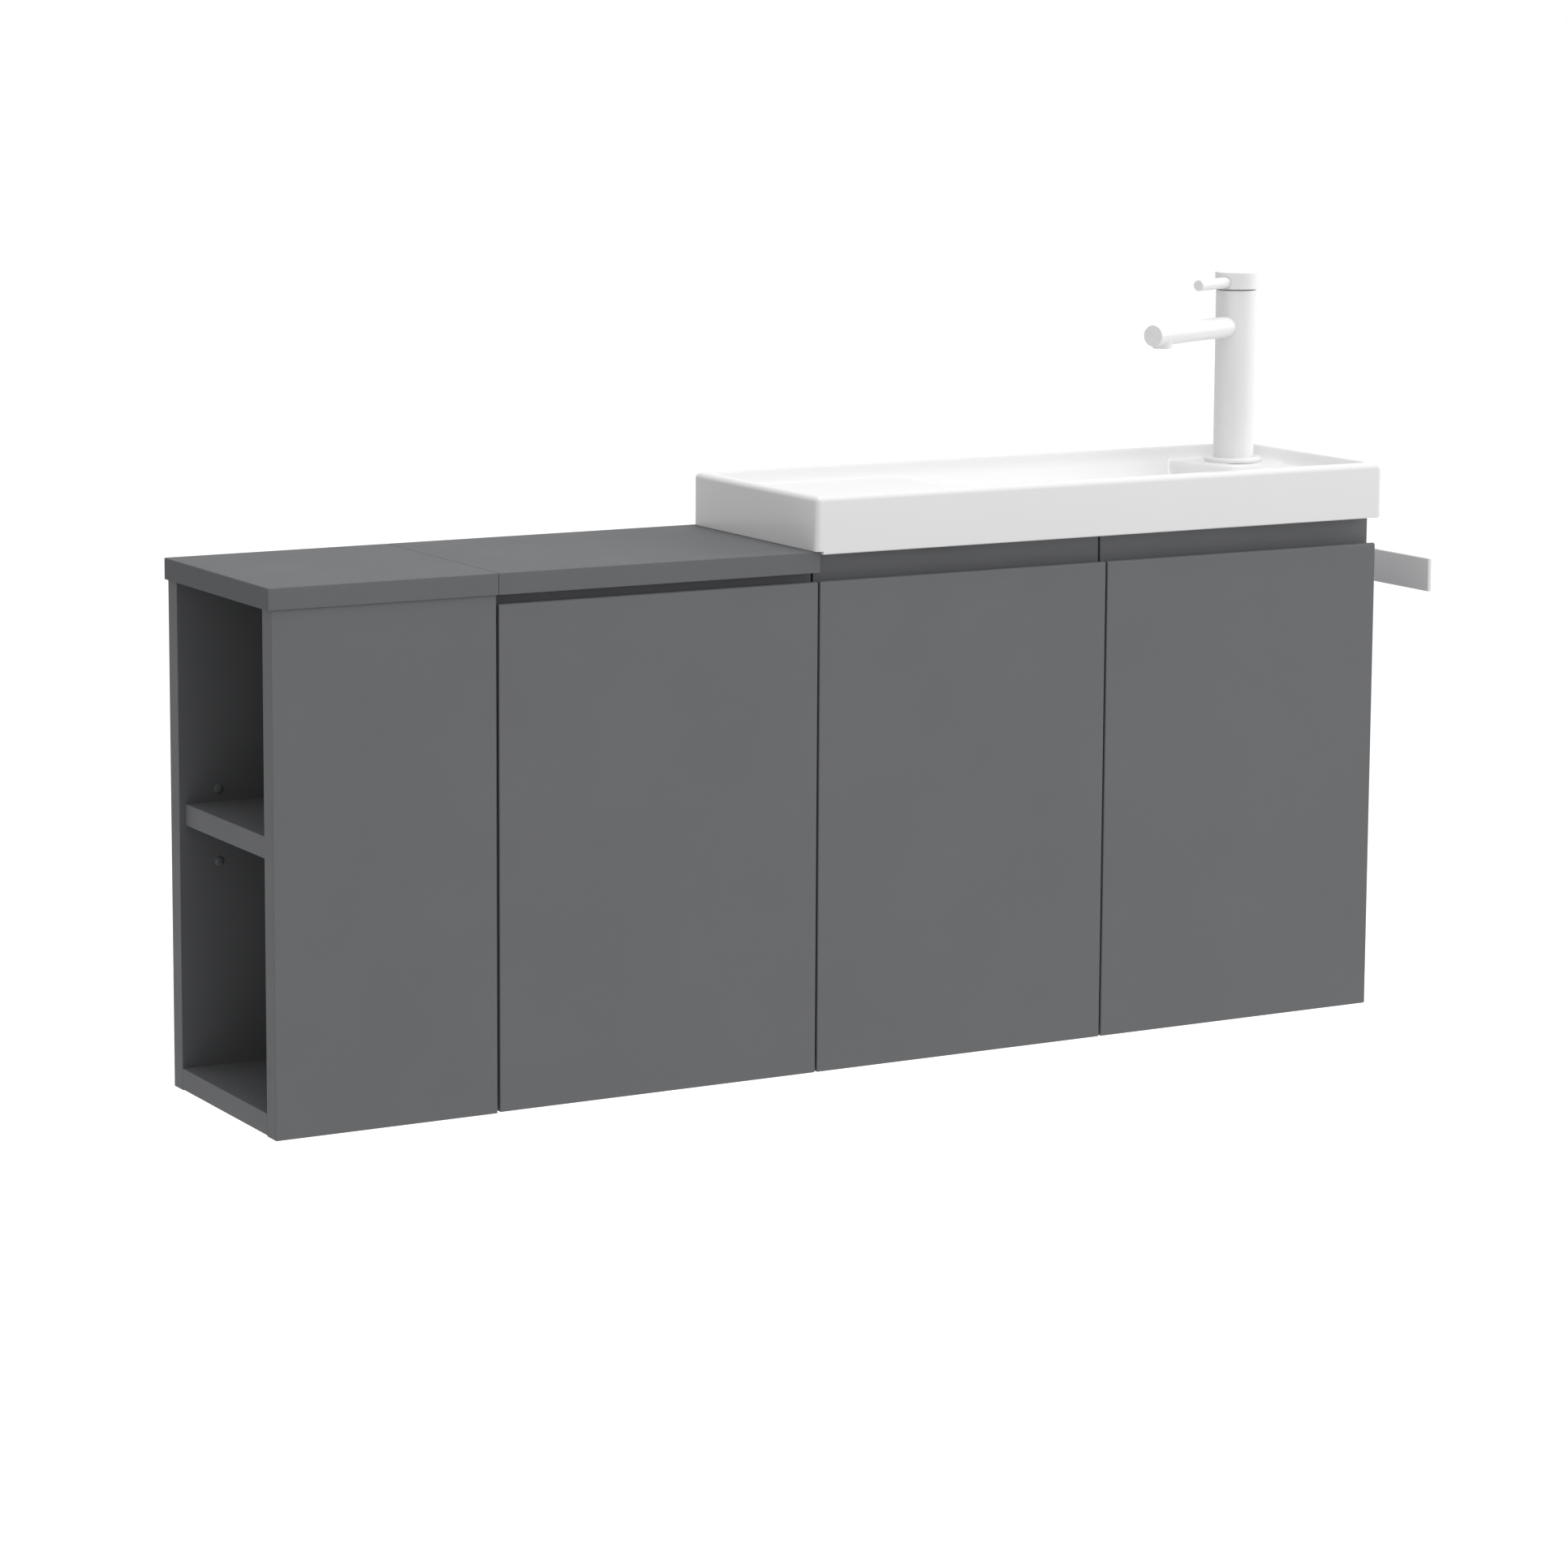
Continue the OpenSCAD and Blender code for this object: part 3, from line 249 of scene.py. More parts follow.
def makeFinish(name, ownValues):
    # a Principled material whose colour, gloss and skin come from the groups
    values = {**commonValues, **ownValues}
    material = bpy.data.materials.new(name)
    material.use_nodes = True
    tree = material.node_tree

    def place(group, sockets):
        return addNode(tree, "ShaderNodeGroup", sockets, node_tree=group).outputs

    tone, otherTone = (sRgb(*tone) for tone in values["tones"])
    colourOut = place(mottle, {
        "Tone": tone,
        "Other Tone": otherTone,
        "Scale": values["driftScale"],
        "Speck Scale": values["speckScale"],
        "Speck": values["speck"],
    })["Color"]
    if values["grain"]:
        grain = {"Stretch": values["grain"], "Scale": values["grainScale"]}
        heightOut, tint = place(longGrain, grain)["Mask"], sRgb(*values["grainTint"])
        tones = {mixFactor: heightOut, mixTone: colourOut, mixOtherTone: tint}
        mixed = addNode(tree, "ShaderNodeMix", tones, data_type="RGBA", blend_type="MULTIPLY")
        colourOut = mixed.outputs[mixedTone]
    else:
        heightOut = place(sprayGrain, {
            "Cell Scale": values["cellScale"],
            "Wave Scale": values["waveScale"],
            "Wave": values["wave"],
        })["Height"]
    low, high = values["gloss"]
    gloss = place(patchyGloss, {"Low": low, "High": high, "Scale": values["glossScale"]})
    skin = {"Strength": values["bump"], "Distance": values["depth"], "Height": heightOut}
    setSockets(tree, tree.nodes["Principled BSDF"], {
        "Base Color": colourOut,
        "Roughness": gloss["Roughness"],
        "Normal": addNode(tree, "ShaderNodeBump", skin).outputs["Normal"],
        **values["fixed"],
    })
    return material


finishes = {  # tones in screen colours from 0 to 255
    "greyLacquer": {  # matt lacquered board
        "tones": ((109, 110, 112), (112, 113, 115)),
        "gloss": (0.55, 0.65),
        "bump": 0.06,
        "fixed": {"Specular IOR Level": 0.25},
    },
    "greyTop": {  # the counter boards' lacquer, its tones a few steps lighter: painted light on their tops
        "tones": ((113, 114, 116), (116, 117, 119)),
        "gloss": (0.58, 0.66),
        "bump": 0.05,
        "fixed": {"Specular IOR Level": 0.02},
    },
    "whiteCeramic": {  # glazed fireclay
        "tones": ((238, 238, 238), (239, 239, 239)),
        "driftScale": 6.0,
        "gloss": (0.3, 0.36),
        "bump": 0.03,
        "cellScale": 600.0,
        "waveScale": 20.0,
        "fixed": {"Coat Weight": 0.3, "Coat Roughness": 0.15},
    },
    "whiteCoating": {  # powder-coated brass
        "tones": ((239, 239, 239), (242, 242, 242)),
        "gloss": (0.4, 0.5),
        "bump": 0.12,
        "cellScale": 1500.0,
        "depth": 0.0001,
    },
    "whiteSteel": {
        "tones": ((230, 230, 231), (234, 234, 235)),
        "gloss": (0.34, 0.44),
        "cellScale": 1300.0,
        "depth": 0.0001,
    },
    "nickelSteel": {
        "tones": ((196, 196, 194), (206, 206, 204)),
        "grain": (1.0, 0.06, 1.0),
        "grainTint": (214, 214, 214),
        "gloss": (0.24, 0.38),
        "depth": 0.00005,
        "fixed": {"Metallic": 1.0},
    },
    "whitePlastic": {
        "tones": ((229, 229, 227), (234, 234, 232)),
        "gloss": (0.28, 0.38),
        "bump": 0.08,
        "cellScale": 700.0,
    },
    "blackRubber": {
        "tones": ((32, 32, 33), (42, 42, 43)),
        "gloss": (0.6, 0.75),
        "bump": 0.2,
    },
    "clearRubber": {
        "tones": ((214, 216, 218), (222, 224, 226)),
        "gloss": (0.2, 0.3),
        "bump": 0.05,
        "fixed": {"Transmission Weight": 0.6, "IOR": 1.45},
    },
    "yellowBrass": {
        "tones": ((196, 164, 96), (206, 174, 106)),
        "gloss": (0.22, 0.34),
        "cellScale": 500.0,
        "fixed": {"Metallic": 1.0},
    },
    "beech": {
        "tones": ((206, 172, 128), (216, 184, 142)),
        "grain": (0.05, 1.0, 1.0),
        "grainTint": (205, 170, 125),
        "gloss": (0.55, 0.7),
        "bump": 0.25,
    },
}
finish = {name: makeFinish(name, values) for name, values in finishes.items()}
print("finishes made:", len(finish))

nodeSlot = {entry["node"]: entry["material_slot"] for entry in frame["record"]["subparts"]}
nodeBody = {
    member: body
    for body, members in frame["record"]["behaviour"]["bodies"].items()
    for member in members
}


def giveFinish(piece, slot):
    # the slot white_steel takes the finish whiteSteel
    first, *others = slot.split("_")
    piece.data.materials.clear()
    piece.data.materials.append(finish[first + "".join(word.title() for word in others)])


# the CAD pieces keep their meshes and take their finishes
for node, piece in cadNodes.items():
    giveFinish(piece, nodeSlot[node])
print("CAD pieces dressed")


# modelling helpers

def chooseOnly(piece):
    bpy.ops.object.select_all(action="DESELECT")
    piece.select_set(True)
    bpy.context.view_layer.objects.active = piece


def startEdit(piece, action="SELECT"):
    chooseOnly(piece)
    bpy.ops.object.mode_set(mode="EDIT")
    bpy.ops.mesh.select_mode(type="EDGE")
    bpy.ops.mesh.select_all(action=action)


def endEdit():
    bpy.ops.object.mode_set(mode="OBJECT")


def closeSkin():
    # faces turned outwards at the end of an edit
    bpy.ops.mesh.select_all(action="SELECT")
    bpy.ops.mesh.normals_make_consistent(inside=False)
    endEdit()


def applyPlace(piece):
    # the place goes into the mesh, and the object back to the origin
    chooseOnly(piece)
    bpy.ops.object.transform_apply()


def addModifier(piece, kind, **settings):
    modifier = piece.modifiers.new(kind.lower(), kind)
    for key, value in settings.items():
        setattr(modifier, key, value)
    chooseOnly(piece)
    bpy.ops.object.modifier_apply(modifier=modifier.name)


def settleNormals(piece, angle=50):
    # large faces keep their own normal, and only small roundings are shaded smooth
    chooseOnly(piece)
    bpy.ops.mesh.customdata_custom_splitnormals_clear()
    bpy.ops.object.shade_smooth_by_angle(angle=radians(angle))
    addModifier(piece, "WEIGHTED_NORMAL", mode="FACE_AREA", weight=100, keep_sharp=True)


def roundEdges(piece, width, steps=3, sharpFrom=40):
    # a rounding on every edge sharper than so many degrees
    addModifier(
        piece, "BEVEL", width=width, segments=steps,
        limit_method="ANGLE", angle_limit=radians(sharpFrom),
        use_clamp_overlap=False, miter_outer="MITER_ARC",
    )
    settleNormals(piece)


def healMesh(piece, reach=0.000002):
    # merges the points that cuts leave on top of each other
    startEdit(piece)
    bpy.ops.mesh.remove_doubles(threshold=reach)
    bpy.ops.mesh.dissolve_degenerate(threshold=reach)
    endEdit()


def useCutter(piece, cutter, operation="DIFFERENCE"):
    addModifier(piece, "BOOLEAN", operation=operation, solver="EXACT", object=cutter)
    bpy.data.objects.remove(cutter)


def makeBlock(middle, size):
    bpy.ops.mesh.primitive_cube_add(size=1, location=middle)
    block = bpy.context.object
    block.scale = size
    applyPlace(block)
    return block


def movePiece(piece, place, tip=0.0, turn=0.0):
    # tips the upright axis over towards +X, turns it round and moves it to its place
    piece.matrix_world = (
        Matrix.Translation(Vector(place))
        @ Matrix.Rotation(radians(turn), 4, "Z")
        @ Matrix.Rotation(radians(tip), 4, "Y")
    )
    applyPlace(piece)
    return piece


def finishPiece(piece, name, body, slot, *nodes):
    # names the piece, gives it its finish and says what it rides on and stands for
    piece.name = name
    piece.data.name = name
    giveFinish(piece, slot)
    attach(piece, body)
    if nodes:
        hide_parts(*nodes)


def standIn(piece, name, node):
    # a piece that takes a CAD piece's place, body and slot
    finishPiece(piece, name, nodeBody[node], nodeSlot[node], node)


# boards and fittings with their sharp edges taken off

softening = {"mergeWithin": 0.000005, "flatWithin": 0.5, "steps": 2}  # metres, degrees
softEdges = {  # width of the rounding in metres, for a slot's pieces or for one piece
    "grey_lacquer": 0.0006,
    "cupboard_door": 0.0009,
    "basin_left_door": 0.0009,
    "basin_right_door": 0.0009,
    "grey_top": 0.0009,
    "white_steel": 0.0008,
    "nickel_steel": 0.0003,
    "clear_rubber": 0.0003,
    "black_rubber": 0.0005,
    "waste_nut": 0.0005,
    "tap_nut": 0.0005,
}


def softenNode(node, width, values):
    piece = bpy.data.objects.new(node + "_soft", cadNodes[node].data.copy())
    scene.collection.objects.link(piece)
    startEdit(piece)
    bpy.ops.mesh.remove_doubles(threshold=values["mergeWithin"])
    bpy.ops.mesh.dissolve_limited(angle_limit=radians(values["flatWithin"]))
    endEdit()
    roundEdges(piece, width, values["steps"])
    low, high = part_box(node)
    for vertex in piece.data.vertices:  # a rounding never stands proud of the board
        for axis in range(3):
            vertex.co[axis] = min(max(vertex.co[axis], low[axis]), high[axis])
    settleNormals(piece)
    standIn(piece, node + "_soft", node)


softNodes = {node: softEdges.get(node, softEdges.get(slot)) for node, slot in nodeSlot.items()}
softNodes = {node: width for node, width in softNodes.items() if width}
for node, width in softNodes.items():
    softenNode(node, width, softening)
print("edges softened:", len(softNodes))


# washbasin: one glazed piece with its tray, valley, bowl and tap ledge blended together

basinShape = {
    "corner": (-0.308, -0.2285, 0.040),  # left front corner of the underside, in metres
    "length": 610.0,  # the rest is in millimetres from that corner
    "depth": 224.5,
    "height": 51.0,
    "edge": 5.0,
    "edgeSteps": 7,
    "lowerEdge": 0.8,
    "rim": 10.5,
    # places of the points across the rim, past its rounded edge
    "rimPoints": (
        6.2, 7.4, 8.2, 8.8, 9.3, 9.7, 10.1, 10.5, 10.9, 11.3, 11.8, 12.4, 13.1, 14.0, 15.0,
    ),
    # spacing of the points inside the rim, each up to its place
    "stepsX": ((190.0, 4.0), (500.0, 1.6), (610.0, 0.85)),
    "stepsY": ((128.0, 1.4), (224.5, 0.95)),
    "recessCorner": 7.0,
    "recessSlope": 4.0,
    "recessRise": 2.0,
    "trayLevel": 38.5,
    "trayLength": 193.0,
    "valleyDrop": 14.0,
    "bowlMiddle": (392.0, 214.0),
    "bowlRadius": 166.0,
    "bowlLean": 10.0,
    "backAt": 209.0,
    "backRadius": 70.0,
    "backRise": 0.5,
    "floor": 9.0,
    "ledgeMiddle": (571.0, 196.0),
    "ledgeRadius": 60.0,
    "ledgeLean": 14.0,
    "blends": {  # how far each meeting of two surfaces is rounded
        "valley": 0.8,
        "bowlFloor": 9.0,
        "bowlEdge": 3.5,
        "backTop": 2.5,
        "back": 3.0,
        "ledgeTop": 6.0,
        "ledge": 9.0,
        "wall": 11.0,
        "rim": 4.0,
    },
    "blocks": (  # cut out between two corners: the seat on the counter, the tray's hollow
        ((-2.0, -2.0, -2.0), (7.4, 226.5, 2.9)),
        ((30.5, 11.5, -1.0), (183.5, 213.0, 26.5)),
    ),
    "drums": (  # middle, radius and ends: the tap's hollow and hole, the waste's hole and seat
        ((565.0, 178.1), 26.0, -1.0, 26.5),
        ((565.0, 178.1), 16.0, -1.0, 60.0),
        ((404.0, 92.0), 23.0, -1.0, 60.0),
        ((404.0, 92.0), 32.5, 7.0, 60.0),
    ),
    "sharpFrom": 42,  # degrees
}


def softMax(a, b, reach):
    mix = min(max(0.5 + 0.5 * (a - b) / reach, 0.0), 1.0)
    return b + (a - b) * mix + reach * mix * (1 - mix) * 0.5


def softMin(a, b, reach):
    return -softMax(-a, -b, reach)


def basinLines(length, steps, values):
    # points across the rim close together, and in even spans inside it
    edge, count = values["edge"], values["edgeSteps"]
    rim = [edge * (1 - sin(pi / 2 * (1 - i / count))) for i in range(count + 1)]
    rim += values["rimPoints"]
    middle, start = [], rim[-1]
    for end, step in steps:
        end = min(end, length - rim[-1])
        count = round((end - start) / step)
        middle += [start + (end - start) * (i + 1) / count for i in range(count)]
        start = end
    return rim + middle[:-1] + [length - r for r in reversed(rim)]


def circleRise(along, radius):
    # height of a circle that lies on the ground, at a distance from where it touches
    return radius - sqrt(radius * radius - along * along)


def valleyHeight(x, values):
    # between the tray and the right rim
    tray, drop = values["trayLevel"], values["valleyDrop"]
    start = values["rim"] + values["trayLength"]
    end = values["length"] - values["rim"]
    half = (end - start) / 2
    radius = (half * half + drop * drop) / (2 * drop)
    across = min(abs(x - (start + end) / 2), radius)
    return tray - drop + circleRise(across, radius)


def bowlHeight(x, y, values):
    # leaning round front over a level floor
    floor, lean = values["floor"], values["bowlLean"]
    away = dist((x, y), values["bowlMiddle"]) - (values["bowlRadius"] - lean)
    wall = floor + away * (values["trayLevel"] - floor) / lean
    return softMax(wall, floor, values["blends"]["bowlFloor"])


def backHeight(y, values):
    # concave, and up to the tray's level all along the rear wall
    floor, radius = values["floor"], values["backRadius"]
    rise = values["trayLevel"] - floor
    start = values["backAt"] - sqrt(2 * rise * radius - rise * rise)
    behind = min(max(y - start, 0.0), radius)
    back = floor + circleRise(behind, radius)
    return softMin(back, values["trayLevel"] + values["backRise"], values["blends"]["backTop"])


def ledgeHeight(x, y, values):
    # round ledge that carries the tap
    tray = values["trayLevel"]
    away = dist((x, y), values["ledgeMiddle"]) - values["ledgeRadius"]
    side = tray - away * tray / values["ledgeLean"]
    return softMin(tray, side, values["blends"]["ledgeTop"])


def wallHeight(x, y, values):
    # inner wall up to the rim, with round corners
    corner = values["recessCorner"]
    inset = values["rim"] + corner
    alongX = abs(x - values["length"] / 2) - (values["length"] / 2 - inset)
    alongY = abs(y - values["depth"] / 2) - (values["depth"] / 2 - inset)
    outside = hypot(max(alongX, 0), max(alongY, 0)) + min(max(alongX, alongY), 0) - corner
    return values["height"] + values["recessRise"] + outside * values["recessSlope"]


def basinHeight(x, y, values):
    blends = values["blends"]
    level = softMin(values["trayLevel"], valleyHeight(x, values), blends["valley"])
    level = softMin(level, bowlHeight(x, y, values), blends["bowlEdge"])
    level = softMax(level, backHeight(y, values), blends["back"])
    level = softMax(level, ledgeHeight(x, y, values), blends["ledge"])
    level = softMax(level, wallHeight(x, y, values), blends["wall"])
    return softMin(level, values["height"], blends["rim"])


def edgeHeight(x, y, values):
    # on the rounded outer edge: the point moved in at a corner, and its height
    edge, length, depth = values["edge"], values["length"], values["depth"]
    fromX = max(edge - x, edge - (length - x), 0.0)
    fromY = max(edge - y, edge - (depth - y), 0.0)
    out = max(fromX, fromY)
    if fromX > 0 and fromY > 0:  # the square corner becomes a round one
        shrink = out / hypot(fromX, fromY)
        x += (fromX - fromX * shrink) * (1 if x < length / 2 else -1)
        y += (fromY - fromY * shrink) * (1 if y < depth / 2 else -1)
    if out > 0:
        return x, y, values["height"] - edge + sqrt(max(edge * edge - out * out, 0.0))
    return x, y, basinHeight(x, y, values)


def makeBasin(values):
    length, depth = values["length"], values["depth"]
    xs = basinLines(length, values["stepsX"], values)
    ys = basinLines(depth, values["stepsY"], values)
    bpy.ops.mesh.primitive_grid_add(
        x_subdivisions=len(xs) - 1, y_subdivisions=len(ys) - 1, size=2,
    )
    piece = bpy.context.object
    corner = Vector(values["corner"])
    for index, vertex in enumerate(piece.data.vertices):
        point = edgeHeight(xs[index % len(xs)], ys[index // len(xs)], values)
        vertex.co = corner + Vector(point) / 1000
    startEdit(piece, "DESELECT")
    bpy.ops.mesh.select_non_manifold()
    # skirt, its lower edge and the flat underside
    lower = values["lowerEdge"]
    for drop in (values["height"] - values["edge"] - lower, lower):
        bpy.ops.mesh.extrude_region_move(TRANSFORM_OT_translate={"value": (0, 0, -drop / 1000)})
    bpy.ops.transform.resize(
        value=((length - 2 * lower) / length, (depth - 2 * lower) / depth, 1),
        center_override=corner + Vector((length / 2000, depth / 2000, 0)),
    )
    bpy.ops.mesh.edge_face_add()
    closeSkin()
    return piece


def cutBasin(piece, values):
    def at(*place):
        return Vector(values["corner"]) + Vector(place) / 1000

    for low, high in values["blocks"]:
        low, high = at(*low), at(*high)
        useCutter(piece, makeBlock((low + high) / 2, high - low))
    for (x, y), radius, low, high in values["drums"]:
        bpy.ops.mesh.primitive_cylinder_add(
            vertices=72, radius=radius / 1000, depth=(high - low) / 1000,
            location=at(x, y, (low + high) / 2),
        )
        drum = bpy.context.object
        applyPlace(drum)
        useCutter(piece, drum)
    return piece


basin = cutBasin(makeBasin(basinShape), basinShape)
chooseOnly(basin)
bpy.ops.object.shade_smooth_by_angle(angle=radians(basinShape["sharpFrom"]))
standIn(basin, "washbasin_glazed", "washbasin")
print("washbasin made:", len(basin.data.polygons), "faces")


# turned pieces, whose profiles are (radius, height) pairs in millimetres

def turnPiece(profile, count=96, ring=True):
    # sweeps the profile about the upright axis at the origin
    radius, height = profile[0]
    bpy.ops.mesh.primitive_circle_add(
        vertices=count, radius=radius / 1000, fill_type="NOTHING",
        location=(0, 0, height / 1000),
    )
    piece = bpy.context.object
    startEdit(piece)
    for nextRadius, nextHeight in profile[1:]:
        step = (0, 0, (nextHeight - height) / 1000)
        bpy.ops.mesh.extrude_region_move(TRANSFORM_OT_translate={"value": step})
        bpy.ops.transform.resize(
            value=(nextRadius / radius, nextRadius / radius, 1), center_override=(0, 0, 0),
        )
        radius, height = nextRadius, nextHeight
    bpy.ops.mesh.select_all(action="DESELECT")
    bpy.ops.mesh.select_non_manifold()
    if ring:
        bpy.ops.mesh.bridge_edge_loops()
    else:
        bpy.ops.mesh.fill_holes(sides=0)
    closeSkin()
    applyPlace(piece)
    return piece


def cutTurned(piece, profile, count, place=(0, 0, 0), operation="DIFFERENCE", **turns):
    # cuts a turned shape out of a piece, or adds it
    cutter = movePiece(turnPiece(profile, count, ring=False), place, **turns)
    useCutter(piece, cutter, operation)


def arc(radius, height, reach, steps, first=0, rise=None):
    # quarter of a circle or an ellipse about a middle, from its side up to its top
    rise = reach if rise is None else rise
    angles = [pi / 2 * i / steps for i in range(first, steps + 1)]
    return [(radius + reach * cos(angle), height + rise * sin(angle)) for angle in angles]


def threadLines(radius, depth, pitch, low, high):
    # profile of a thread from its lower to its upper end
    count = int((high - low) / pitch)
    pitch = (high - low) / count
    turns = ((depth, 0.08), (0.0, 0.42), (0.0, 0.58), (depth, 0.92))
    return [
        (radius - inward, low + turn * pitch + share * pitch)
        for turn in range(count)
        for inward, share in turns
    ]


def finishTurned(piece, name, node, values, height=0.0, turn=0.0):
    # from the origin to its place, so high above it
    movePiece(piece, Vector(values["place"]) + Vector((0, 0, height / 1000)), turn=turn)
    settleNormals(piece, values["sharpFrom"])
    standIn(piece, name, node)


# tap: foot ring, body, spout with its outlet, turning cap and lever

tapShape = {
    "place": (0.257, -0.0504, 0.0785),  # on the ledge, in metres
    "turn": 205.0,  # direction of the spout and the lever, in degrees
    "fit": 0.1,  # millimetres from here on
    "edge": 0.45,
    "through": 40.0,
    "foot": (27.5, 4.0, 2.0, 0.3),  # radius, height, rounding and chamfer
    "body": (19.3, 164.2),
    "bodyBores": ((12.1, 122.5), (10.3, 20.0), (10.58, 0.0)),  # radius and lower end
    "spout": (10.0, 12.6, 153.0),  # radius, start and end
    "spoutHeight": 129.5,
    "outletAt": 135.5,
    "outlet": (9.2, 1.6, 12.6, 8.0),  # radius, wall, drop and depth
    "outletLip": ((0.0, 0.5), (0.15, 0.15), (0.5, 0.0)),  # inward and up
    "outletMouth": ((0.4, -1.0), (0.4, 0.2), (0.0, 0.7)),  # outward and up
    "sieveInside": ((1.6, 2.2), (1.4, 0.6), (0.5, 0.6), (0.1, 1.0), (0.1, 7.0)),  # inward and up
    "sieveMiddle": 1.0,
    "sieveHoles": (1.9, 1.653, 3),  # pitch, space between the rows, rows on each side
    "sieveHole": (0.62, 1.0, 5.5),  # radius, lower and upper end
    "sieveRim": 2.4,
    "cap": (20.25, 165.3, 181.5),  # radius, lower and upper end
    "capEdges": (0.35, 0.8),  # chamfer and rounding
    "capDish": ((2.2, 0.0), (2.6, 0.12)),  # inward and down
    "capMiddle": (1.0, 0.18),
    "capDrills": ((9.0, 0.06), (19.2, 0.6)),  # start, and space around the lever
    "capThrough": 30.0,
    "lever": (5.2, 8.3, 71.5),  # radius, start and end
    "leverHeight": 171.9,
    "leverEdge": 0.7,
    "sharpFrom": 32,  # degrees
}


def makeTapFoot(values):
    foot, height, soft, chamfer = values["foot"]
    bore = values["body"][0] + values["fit"]
    ring = turnPiece(
        [(foot - chamfer, 0), (foot, chamfer)]
        + arc(foot - soft, height - soft, soft, 8)
        + [(bore, height), (bore, 0)],
        128,
    )
    finishTurned(ring, "tap_foot_ring", "tap_foot", values)


def makeTapBody(values):
    radius, high = values["body"]
    profile = [(radius, 0), (radius, high)]
    for bore, low in values["bodyBores"]:
        profile += [(bore, high), (bore, low)]
        high = low
    body = turnPiece(profile, 128)
    roundEdges(body, values["edge"] / 1000)
    hole = values["spout"][0] + values["fit"]
    cutTurned(
        body, [(hole, 0), (hole, values["through"])], 96,
        (0, 0, values["spoutHeight"] / 1000), tip=90, turn=values["turn"],
    )
    movePiece(body, values["place"])
    standIn(body, "tap_body_turned", "tap_body")


def makeTapSpout(values):
    radius, root, end = values["spout"]
    height, turn = values["spoutHeight"], values["turn"]
    outlet, wall, drop, depth = values["outlet"]
    low, bore, outletPlace = -drop, outlet - wall, (values["outletAt"] / 1000, 0, 0)
    spout = turnPiece([(radius, 0), (radius, end - root)], 96, ring=False)
    roundEdges(spout, values["edge"] / 1000)
    movePiece(spout, (root / 1000, 0, 0), tip=90)
    lip = [(outlet - inward, low + up) for inward, up in values["outletLip"]]
    cutTurned(spout, [(outlet, -1), *lip], 72, outletPlace, "UNION")
    mouth = [(bore + out, low + up) for out, up in values["outletMouth"]]
    cutTurned(spout, [*mouth, (bore, low + depth)], 72, outletPlace)
    finishTurned(spout, "tap_spout_turned", "tap_spout", values, height, turn)

    first, *others = [(bore - inward, low + up) for inward, up in values["sieveInside"]]
    sieve = turnPiece([(values["sieveMiddle"], first[1]), first, *others], 72, ring=False)
    pitch, apart, rows = values["sieveHoles"]
    hole, *ends = values["sieveHole"]
    drill = [(hole, low + end) for end in ends]
    for row in range(-rows, rows + 1):
        for column in range(-rows, rows + 1):
            across, along = pitch * (column + row % 2 / 2), apart * row
            if hypot(across, along) < bore - values["sieveRim"]:
                cutTurned(sieve, drill, 10, (across / 1000, along / 1000, 0))
    movePiece(sieve, outletPlace)
    finishTurned(sieve, "tap_aerator_sieve", "tap_aerator", values, height, turn)


def makeTapHandle(values):
    wide, low, high = values["cap"]
    (chamfer, soft), (middle, dip) = values["capEdges"], values["capMiddle"]
    cap = turnPiece(
        [(wide - chamfer, low), (wide, low + chamfer)]
        + arc(wide - soft, high - soft, soft, 6)
        + [(wide - inward, high - down) for inward, down in values["capDish"]]
        + [(middle, high - dip)],
        128, ring=False,
    )
    thin, root, end = values["lever"]
    height, turn = values["leverHeight"], values["turn"]
    for start, space in values["capDrills"]:
        drill = [(thin + space, start), (thin + space, values["capThrough"])]
        cutTurned(cap, drill, 72, (0, 0, height / 1000), tip=90, turn=turn)
    finishTurned(cap, "tap_cap_turned", "tap_cap", values)

    lever = turnPiece([(thin, root), (thin, end)], 64, ring=False)
    roundEdges(lever, values["leverEdge"] / 1000)
    movePiece(lever, Vector(values["place"]) + Vector((0, 0, height / 1000)), tip=90, turn=turn)
    standIn(lever, "tap_lever_turned", "tap_lever")


makeTapFoot(tapShape)
makeTapBody(tapShape)
makeTapSpout(tapShape)
makeTapHandle(tapShape)
print("tap made")


# waste and bottle trap, in millimetres from the waste's axis at the washbasin's underside

